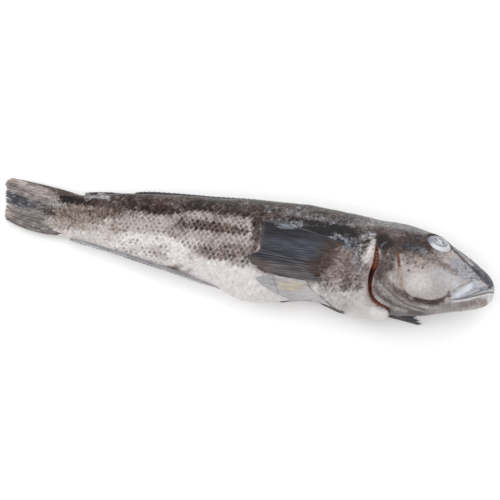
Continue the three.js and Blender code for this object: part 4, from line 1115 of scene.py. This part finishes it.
tailFin = {
    # rays start at the root, from its top to its bottom, and bend at the middle
    "root": [(342.0, 21.2), (342.0, -13.6)], "middle": [(368, 25.6), (371, -19.4)],
    "rays": 17, "perRay": 10, "along": 76,
    "splits": [(0.63, 0.011, 0.17), (0.5, 0.008, 0.09), (0.3, 0.008, 0.05), (0.74, 0.008, 0.07)],
    "thick": [(342, 5.5), (352, 4.6), (362, 3.2), (372, 1.5), (402, 0.5)],
    "edge": [(400.6, 26.6), (404.6, 22.6), (403, 16), (401.6, 9.4), (399.8, 2.7), (399.4, -3),
             (397.6, -8.4)],
    "marks": [
        ("#958c8a", 0.9, 378, 21.5, 17, 4.6, 6, 0.5),
        ("#aca2a0", 0.8, 393, 24, 7, 3, 0, 0.6),
        ("#9a918e", 0.85, 371, 14, 14, 4.6, 4, 0.7),
        ("#505157", 0.95, 388, 8.4, 13, 4.2, 14, 0.6),
        ("#47474d", 0.75, 395, 10.8, 7, 3.8, 14, 0.6),
        ("#403633", 0.95, 363.5, 3.6, 5.4, 4.2, -20, 0.5),
        ("#7a7472", 0.9, 378, -5, 15, 6, 0, 0.6),
        ("#625e5e", 0.85, 362, -12, 11, 2.8, 4, 0.5),
        ("#9a8e87", 0.7, 396, -3.5, 6, 4, 0, 0.7),
        ("#a3948b", 0.85, 401, 23.5, 5, 4, 0, 0.6),
        ("#3a302d", 0.95, 348, 14.4, 9, 2.4, 14, 0.5),
        ("#4a403c", 0.95, 352, 19.0, 12, 3.4, 12, 0.35),
        ("#5b514e", 0.8, 366, 22.4, 8, 1.6, 14, 0.6),
        ("#8d8785", 0.7, 369, -8, 7, 3, 0, 0.7),
        ("#756c6a", 0.7, 386, -10, 8, 3, 0, 0.7),
        ("#7c6d64", 0.8, 351, 1, 9, 6, 0, 0.7),
        ("#565358", 0.5, 373, 8, 7, 4, 0, 0.8),
    ],
}


def makeTailFin():
    # Rays leave the root and bend outwards: each is a curve of three points, the middle one set so
    # that the outer rays follow the fin's edges. They double towards the tip, where the edge is frayed
    # and split between the rays.
    s = tailFin
    rng = np.random.default_rng(43)
    u, v, phase = finGrid(s)
    root, middle = (mix(*np.array(s[name]), v[..., None]) for name in ("root", "middle"))
    strands = 4 * s["rays"]
    strand = np.interp(v * strands, np.arange(strands + 1), rng.random(strands + 1))
    worn = 0.018 * strand + 0.014 * np.abs(np.sin(phase / 2)) ** 0.6
    t = (u * (1 - (worn + splits(s["splits"], v)) * ease(0.6, 1, u)))[..., None]
    flat = (1 - t) ** 2 * root + 2 * t * (1 - t) * middle + t**2 * lineAt(s["edge"], v)
    back, high = flat[..., 0], flat[..., 1]
    half = np.interp(back, *np.array(s["thick"]).T) / 2 * (0.35 + 0.65 * span(0, 0.03, 0.97, 1, v))
    ridge = mix(0.24 * np.cos(phase) * ease(0.15, 0.35, u), 0.14 * np.cos(2 * phase), ease(0.5, 0.85, u))
    wave = 1.1 * u**2 * np.sin(2.2 * math.pi * v + 0.6) + 0.3 * u * flatMottle(back, high, (14, 7, 5), 18)
    centre = plane(back) + wave * ease(0.3, 1, u)
    upperSide = np.stack([-back, high, centre + half + ridge], -1)
    lowerSide = np.stack([-back, high, centre - half - ridge * 0.8], -1)
    rag = flatMottle(back, high, (8, 2.4, 5), 19)
    tone = paintMarks(coat("#807977", *u.shape), s["marks"], back, high, rag)
    hair = flatMottle(8 * u, 84 * v, (1.8, 1, 1), 20, 2)
    cloudy = flatMottle(back, high, (4, 2.4, 5), 26, 3)
    streak = 0.1 * np.cos(phase) * ease(0.2, 0.5, u) + 0.42 * hair * ease(0.05, 0.3, u) + 0.34 * cloudy
    tone = shade(tone, streak + 0.16 * rng.normal(0, 1, u.shape))
    specks = ease(0.5, 0.8, flatMottle(back, high, (2.6, 1.2, 5), 27, 2))
    tone = wash(tone, "#b9b6b8", 0.55 * specks * ease(0.15, 0.3, u))
    tone = wash(tone, "#a89d96", 0.5 * ease(0.94, 1.0, u) * (0.6 + 0.4 * rag))
    return thinPlate("tailFin", upperSide, lowerSide, tone, tone, "tail_fin", "caudal_fin")


foldedFins = {
    "dorsalFin": {
        "crest": [(132, 0.3), (140, 1.3), (152, 1.1), (165, 0.8), (185, 1.3), (205, 1.8), (230, 2.1),
                  (262, 2.2), (280, 2.3), (292, 1.4), (298, 0.3), (303, 0.5), (311, 1.3), (321, 2.2),
                  (331, 2.2), (339, 0.3)],
        "edge": "top", "up": 1, "lean": -0.5, "rays": 52, "slant": 5.5, "perRay": 10, "across": 13,
        "tone": "#454143", "tips": "#8d8a8c", "slot": "tail_fin", "node": "dorsal_fin",
    },
    "analFin": {  # the same, paler
        "crest": [(213, 0.3), (222, 1.9), (246, 2.8), (272, 3.1), (297, 2.8), (315, 2.6), (328, 2.9),
                  (336, 2.0), (341, 0.3)],
        "edge": "bottom", "up": -1, "lean": 0.12, "rays": 38, "slant": 6.5, "perRay": 10, "across": 13,
        "tone": "#979699", "tips": "#c4c2c3", "slot": "pale_fin", "node": "anal_fin",
    },
}


def makeFoldedFin(name):
    # A low fin folded back along the outline: its height follows the crest, each ray leans towards the
    # tail, and the edge steps at each ray like a folded fan
    s = foldedFins[name]
    low, top = s["crest"][0][0], s["crest"][-1][0]
    v, u = np.meshgrid(np.linspace(0, 1, s["rays"] * s["perRay"] + 1), np.linspace(0, 1, s["across"]),
                       indexing="ij")
    along = mix(low, top, v)
    saw = (v * s["rays"] - 0.35 * u) % 1
    stand = np.maximum(hermite(s["crest"], along), 0.25)
    stand = stand * (0.84 + 0.2 * saw ** 1.5) + 0.12 * flatMottle(along, 0 * u, 9, 21)
    back = np.minimum(along + s["slant"] * u * ease(0, 0.04, 1 - v) * np.minimum(stand / 2, 1), top)
    high = outline(s["edge"], along) + s["up"] * (-1.0 + (stand + 1.0) * u)
    centre = plane(along) + s["lean"] * stand * u + 0.25 * np.sin(18 * v + 2 * u) * u
    half = mix(1.5, 0.22, u ** 0.7) + 0.24 * (saw - 0.5)
    upperSide, lowerSide = (np.stack([-back, high, centre + side * half], -1) for side in (1, -1))
    rag = mottle(upperSide, (7, 3, 4), 22)
    tone = wash(coat(s["tone"], *u.shape), s["tips"], 0.55 * ease(0.55, 1, u) * (0.6 + 0.4 * rag))
    lines = np.cos(7.5 * math.pi * u + 0.06 * along) * flatMottle(along, 9 * u, (30, 3, 5), 34, 1)
    tone = tone * (1 + 0.22 * (saw - 0.5) + 0.2 * rag + 0.9 * lines)[..., None].clip(0.3, 1.7)
    if s["edge"] == "top":
        tone = wash(tone, "#b3b0b3", 0.8 * bell(along - 325, 9) * ease(-0.3, 0.3, rag))
    return thinPlate(name, upperSide, lowerSide, tone, tone, s["slot"], s["node"])


frost = {
    # patches of ice: back, high, half length, half height, tilt, how many crystals, strength of paint
    "patches": [(124, 8.5, 11, 4.6, 0, 40, 0.75), (133, 9.5, 3.4, 2.6, 0, 30, 0.95),
                (127, 12, 6, 2, 10, 20, 0.5), (168, 14.8, 12, 3.4, -12, 70, 1.0),
                (178, 17, 5, 1.6, 0, 16, 0.6), (105, 18, 6, 2.6, -20, 26, 0.6),
                (113, -2, 2.6, 6.5, -10, 12, 0.5), (65, 14.6, 7, 2.6, -4, 8, 0.2),
                (94, 3, 2.4, 5, 0, 8, 0.4), (189, 7.0, 0.6, 1.2, 0, 12, 0.9),
                (163, 32, 1.6, 1.0, 0, 12, 0.8), (158, 32, 1.2, 0.8, 0, 7, 0.7),
                (187, 24.5, 2.6, 1.4, 0, 10, 0.6), (204, 30, 0.5, 2.2, 0, 7, 0.7),
                (122, 25, 2.6, 1.2, 0, 8, 0.6), (136, 22.5, 3, 0.7, -20, 8, 0.6),
                (312, 15, 8, 4, 0, 8, 0.15), (283, 17, 7, 3, 0, 3, 0.1), (324, 19.6, 10, 1.8, 0, 26, 0.3),
                (357, 8, 7, 5, 20, 12, 0.3), (257, 18, 9, 5, 0, 6, 0.2), (75, 26, 18, 5, 0, 8, 0.2),
                (92, 33, 6, 3, 0, 10, 0.3), (345, 12, 8, 3, 20, 3, 0.15)],
    "size": 0.34, "sides": 6,
    "overFin": (136, 190, -20, 15), "above": (0.2, 1.3),    # over the skin, and over the fin on it
}


def makeFrost():
    # Ice crystals frozen on the skin: each an uneven low cone of 6 sides, closed below
    rng = np.random.default_rng(53)
    rows = []
    for centreBack, centreHigh, along, across, tilt, count, _ in frost["patches"]:
        r, a = np.sqrt(rng.random(count)), rng.random(count) * 2 * math.pi
        b, h = r * along * np.cos(a), r * across * np.sin(a)
        c, s = math.cos(math.radians(tilt)), math.sin(math.radians(tilt))
        rows.append(np.stack([centreBack + b * c - h * s, centreHigh + b * s + h * c], -1))
    spot = np.concatenate(rows)
    count, sides = len(spot), frost["sides"]
    back, high = spot[:, 0], spot[:, 1]
    centre, _, normal = skinAt(back, turnAt(back, high))
    back0, back1, high0, high1 = frost["overFin"]
    overFin = (back > back0) & (back < back1) & (high > high0) & (high < high1)
    centre = centre + normal * np.take(frost["above"], overFin.astype(int))[:, None]
    size = frost["size"] * rng.lognormal(0, 0.5, count)
    alongBack = np.cross(normal, [0.0, 1.0, 0.0])
    alongBack /= np.linalg.norm(alongBack, axis=-1, keepdims=True)
    across = np.cross(normal, alongBack)
    angle = 2 * math.pi * np.arange(sides) / sides + rng.random((count, 1)) * 6
    radius = size[:, None] * (0.6 + 0.6 * rng.random((count, sides)))
    ring = (centre[:, None] + (radius * np.cos(angle) * 1.5)[..., None] * alongBack[:, None]
            + (radius * np.sin(angle))[..., None] * across[:, None] - 0.15 * normal[:, None])
    peak = centre + normal * (0.35 * size)[:, None]
    place = np.concatenate([ring, peak[:, None], (centre - 0.35 * normal)[:, None]], axis=1)
    one = np.concatenate([capFaces(sides, np.arange(sides)), capFaces(sides + 1, np.arange(sides), True)])
    faces = copies(one, sides + 2, count)
    tone = coat("#97989f", count, sides + 2) * (0.45 + 1.0 * rng.random((count, 1, 1)) ** 1.6)
    tone = np.clip(tone, 0, 1).reshape(-1, 3)
    piece = makePiece("frostOnSkin", place.reshape(-1, 3), [faces], tone, smooth=False)
    placeOn(piece, "skin")
    return piece


def addNode(material, kind, values=None, **links):
    # Adds a node, sets its own settings and its sockets, and links sockets to other nodes' outputs
    tree = material.node_tree
    node = tree.nodes.new(kind)
    for key, value in (values or {}).items():
        if isinstance(key, int) or key in node.inputs:
            node.inputs[key].default_value = value
        else:
            setattr(node, key, value)
    for key, source in links.items():
        tree.links.new(source, node.inputs[int(key[1:]) if key[1:].isdigit() else key.replace("_", " ")])
    return node


def freshMaterial(name):
    material = bpy.data.materials.new(name)
    material.use_nodes = True
    material.node_tree.nodes.clear()
    return material


finishes = {
    # name: size of the specks (mm), their strength on dark and on pale paint, size of the grain (mm),
    # bump, roughness, coat, stretch along the fish, index of refraction
    # chilled fish skin under thin mucus: matt colour below a faint wet gloss
    "chilledFishSkin": (1.5, 0.3, 0.1, 1.4, 0.35, 0.42, 0.03, 1, 1.38),
    # ctenoid scales: horny plates, a little glossier, with growth lines finer than the render shows
    "hornyScales": (1.3, 0.36, 0.12, 1.0, 0.25, 0.4, 0.03, 1, 1.38),
    # gill leaves: blood-filled tissue, dark red and wet
    "bloodyGillTissue": (0.9, 0.35, 0.2, 0.6, 0.4, 0.34, 0.2, 1, 1.38),
    # dead cornea: milky and smooth, with a wet gloss over it
    "cloudedCornea": (1.5, 0.08, 0.03, 2.0, 0.08, 0.28, 0.3, 1, 1.38),
    # fin skin over rays: silky along the rays, slate or pale
    "darkFinSkin": (2.6, 0.3, 0.12, 1.1, 0.3, 0.38, 0.04, 0.25, 1.38),
    "paleFinSkin": (2.4, 0.2, 0.09, 1.3, 0.25, 0.4, 0.05, 0.35, 1.38),
    # tail and back fin skin: worn and dry at the edge
    "wornFinSkin": (2.0, 0.34, 0.25, 1.0, 0.35, 0.45, 0.03, 0.3, 1.38),
    # freezer frost: crystals with the low refraction of ice
    "freezerFrost": (0.8, 0.1, 0.1, 0.4, 0.2, 0.3, 0.05, 1, 1.31),
}


def paintedMaterial(name):
    # Colour comes from the piece's painted attribute, made uneven by specks; they also move the
    # roughness, and a finer grain moves the surface.
    speckMm, onDark, onPale, grainMm, bumpShare, rough, coatShare, stretch, index = finishes[name]
    m = freshMaterial(name)
    place = addNode(m, "ShaderNodeTexCoord").outputs["Object"]
    place = addNode(m, "ShaderNodeMapping", {"Scale": (stretch, 1, 1)}, Vector=place).outputs["Vector"]
    paint = addNode(m, "ShaderNodeAttribute", {"attribute_name": "tone"}).outputs["Color"]
    speck = addNode(m, "ShaderNodeTexNoise", {"Scale": 1000 / speckMm, "Detail": 3.0, "Roughness": 0.6},
                    Vector=place).outputs["Fac"]
    grain = addNode(m, "ShaderNodeTexNoise", {"Scale": 1000 / grainMm, "Detail": 2.0}, Vector=place)

    def ranged(source, fromLow, fromHigh, toLow, toHigh):
        limits = {"From Min": fromLow, "From Max": fromHigh, "To Min": toLow, "To Max": toHigh}
        return addNode(m, "ShaderNodeMapRange", limits, Value=source).outputs["Result"]

    swing = ranged(speck, 0.3, 0.7, -1.0, 1.0)
    bright = addNode(m, "ShaderNodeRGBToBW", Color=paint).outputs["Val"]
    share = addNode(m, "ShaderNodeMath", {"operation": "MULTIPLY_ADD", 2: 1.0}, i0=swing,
                    i1=ranged(bright, 0.08, 0.55, onDark, onPale))
    tinted = addNode(m, "ShaderNodeVectorMath", {"operation": "SCALE"}, i0=paint,
                     Scale=share.outputs["Value"])
    bump = addNode(m, "ShaderNodeBump", {"Strength": bumpShare, "Distance": grainMm / 4000},
                   Height=grain.outputs["Fac"])
    shader = addNode(m, "ShaderNodeBsdfPrincipled",
                     {"IOR": index, "Specular IOR Level": 0.35, "Coat Weight": coatShare,
                      "Coat Roughness": 0.18, "Coat IOR": 1.34},
                     Base_Color=tinted.outputs["Vector"], Normal=bump.outputs["Normal"],
                     Roughness=ranged(speck, 0.3, 0.7, rough - 0.08, rough + 0.1))
    addNode(m, "ShaderNodeOutputMaterial", Surface=shader.outputs["BSDF"])
    return m


def dress(piece, finishName):
    piece.data.materials.append(bpy.data.materials.get(finishName) or paintedMaterial(finishName))


dress(makeSkin(), "chilledFishSkin")
print("skin done")
for piece in makeScales():
    dress(piece, "hornyScales")
for flank in (1, -1):
    dress(makeGills(flank), "bloodyGillTissue")
    dress(makeEye(flank), "cloudedCornea")
    dress(makePelvicFin(flank), "paleFinSkin")
print("gills, eyes and pelvic fins done")
dress(makeUpperFin(), "darkFinSkin")
dress(makeLowerFin(), "darkFinSkin")
dress(makeTailFin(), "wornFinSkin")
dress(makeFoldedFin("dorsalFin"), "wornFinSkin")
dress(makeFoldedFin("analFin"), "paleFinSkin")
print("fins done")
dress(makeFrost(), "freezerFrost")


studio = {
    "floorHalf": 3.0, "floorTone": "#fcfcfc", "world": 0.616,
    # name: place in metres, size in metres, power in watts
    "lamps": {"overhead": ((-0.15, -0.35, 1.5), 2.2, 16.8), "far": ((0.3, 1.3, 1.0), 1.4, 7.84),
              "left": ((-1.4, -0.3, 0.8), 1.2, 4.48)},
}


def makeFloor():
    # A large flat sheet of pale paper
    half = studio["floorHalf"]
    x, y = np.meshgrid(np.linspace(-half, half, 25), np.linspace(-half, half, 25), indexing="ij")
    mesh = bpy.data.meshes.new("floor")
    mesh.from_pydata(np.stack([x, y, 0 * x], -1).reshape(-1, 3).tolist(), [], gridFaces(25, 25).tolist())
    piece = bpy.data.objects.new("floor", mesh)
    bpy.context.scene.collection.objects.link(piece)
    m = freshMaterial("mattPaper")     # uncoated paper: no gloss, tone hardly uneven
    place = addNode(m, "ShaderNodeTexCoord").outputs["Object"]
    fibre = addNode(m, "ShaderNodeTexNoise", {"Scale": 40.0, "Detail": 2.0}, Vector=place)
    tone = linear(studio["floorTone"])
    ramp = addNode(m, "ShaderNodeMapRange", {"To Min": tone[0] * 0.99, "To Max": tone[0]},
                   Value=fibre.outputs["Fac"])
    shader = addNode(m, "ShaderNodeBsdfPrincipled", {"Roughness": 0.9, "Specular IOR Level": 0.1},
                     Base_Color=ramp.outputs["Result"])
    addNode(m, "ShaderNodeOutputMaterial", Surface=shader.outputs["BSDF"])
    piece.data.materials.append(m)


makeFloor()
for name, (spot, size, power) in studio["lamps"].items():
    lamp = bpy.data.lights.new(name, "AREA")
    lamp.shape, lamp.size, lamp.energy = "DISK", size, power
    holder = bpy.data.objects.new(name, lamp)
    holder.location = spot
    holder.rotation_mode = "QUATERNION"
    holder.rotation_quaternion = (Vector((0, 0, 0.02)) - Vector(spot)).to_track_quat("-Z", "Y")
    bpy.context.scene.collection.objects.link(holder)
world = bpy.data.worlds.new("softBox")
world.use_nodes = True
sky = world.node_tree.nodes["Background"].inputs
sky["Color"].default_value, sky["Strength"].default_value = (1, 1, 1, 1), studio["world"]
bpy.context.scene.world = world
bpy.context.scene.view_settings.view_transform = "Standard"

view = {"target": (0.00441, -0.00244, 0.025), "elevation": 75, "azimuth": 10.7724, "distance": 1.4,
        "across": 0.39852, "sensor": 36}
e, a = math.radians(view["elevation"]), math.radians(view["azimuth"])
towards = Vector((math.sin(a) * math.cos(e), -math.cos(a) * math.cos(e), math.sin(e)))
lens = bpy.data.cameras.new("camera")
lens.sensor_width = view["sensor"]
lens.lens = view["sensor"] * view["distance"] / view["across"]
camera = bpy.data.objects.new("camera", lens)
camera.location = Vector(view["target"]) + towards * view["distance"]
camera.rotation_mode = "QUATERNION"
camera.rotation_quaternion = (-towards).to_track_quat("-Z", "Y")
bpy.context.scene.collection.objects.link(camera)
bpy.context.scene.camera = camera
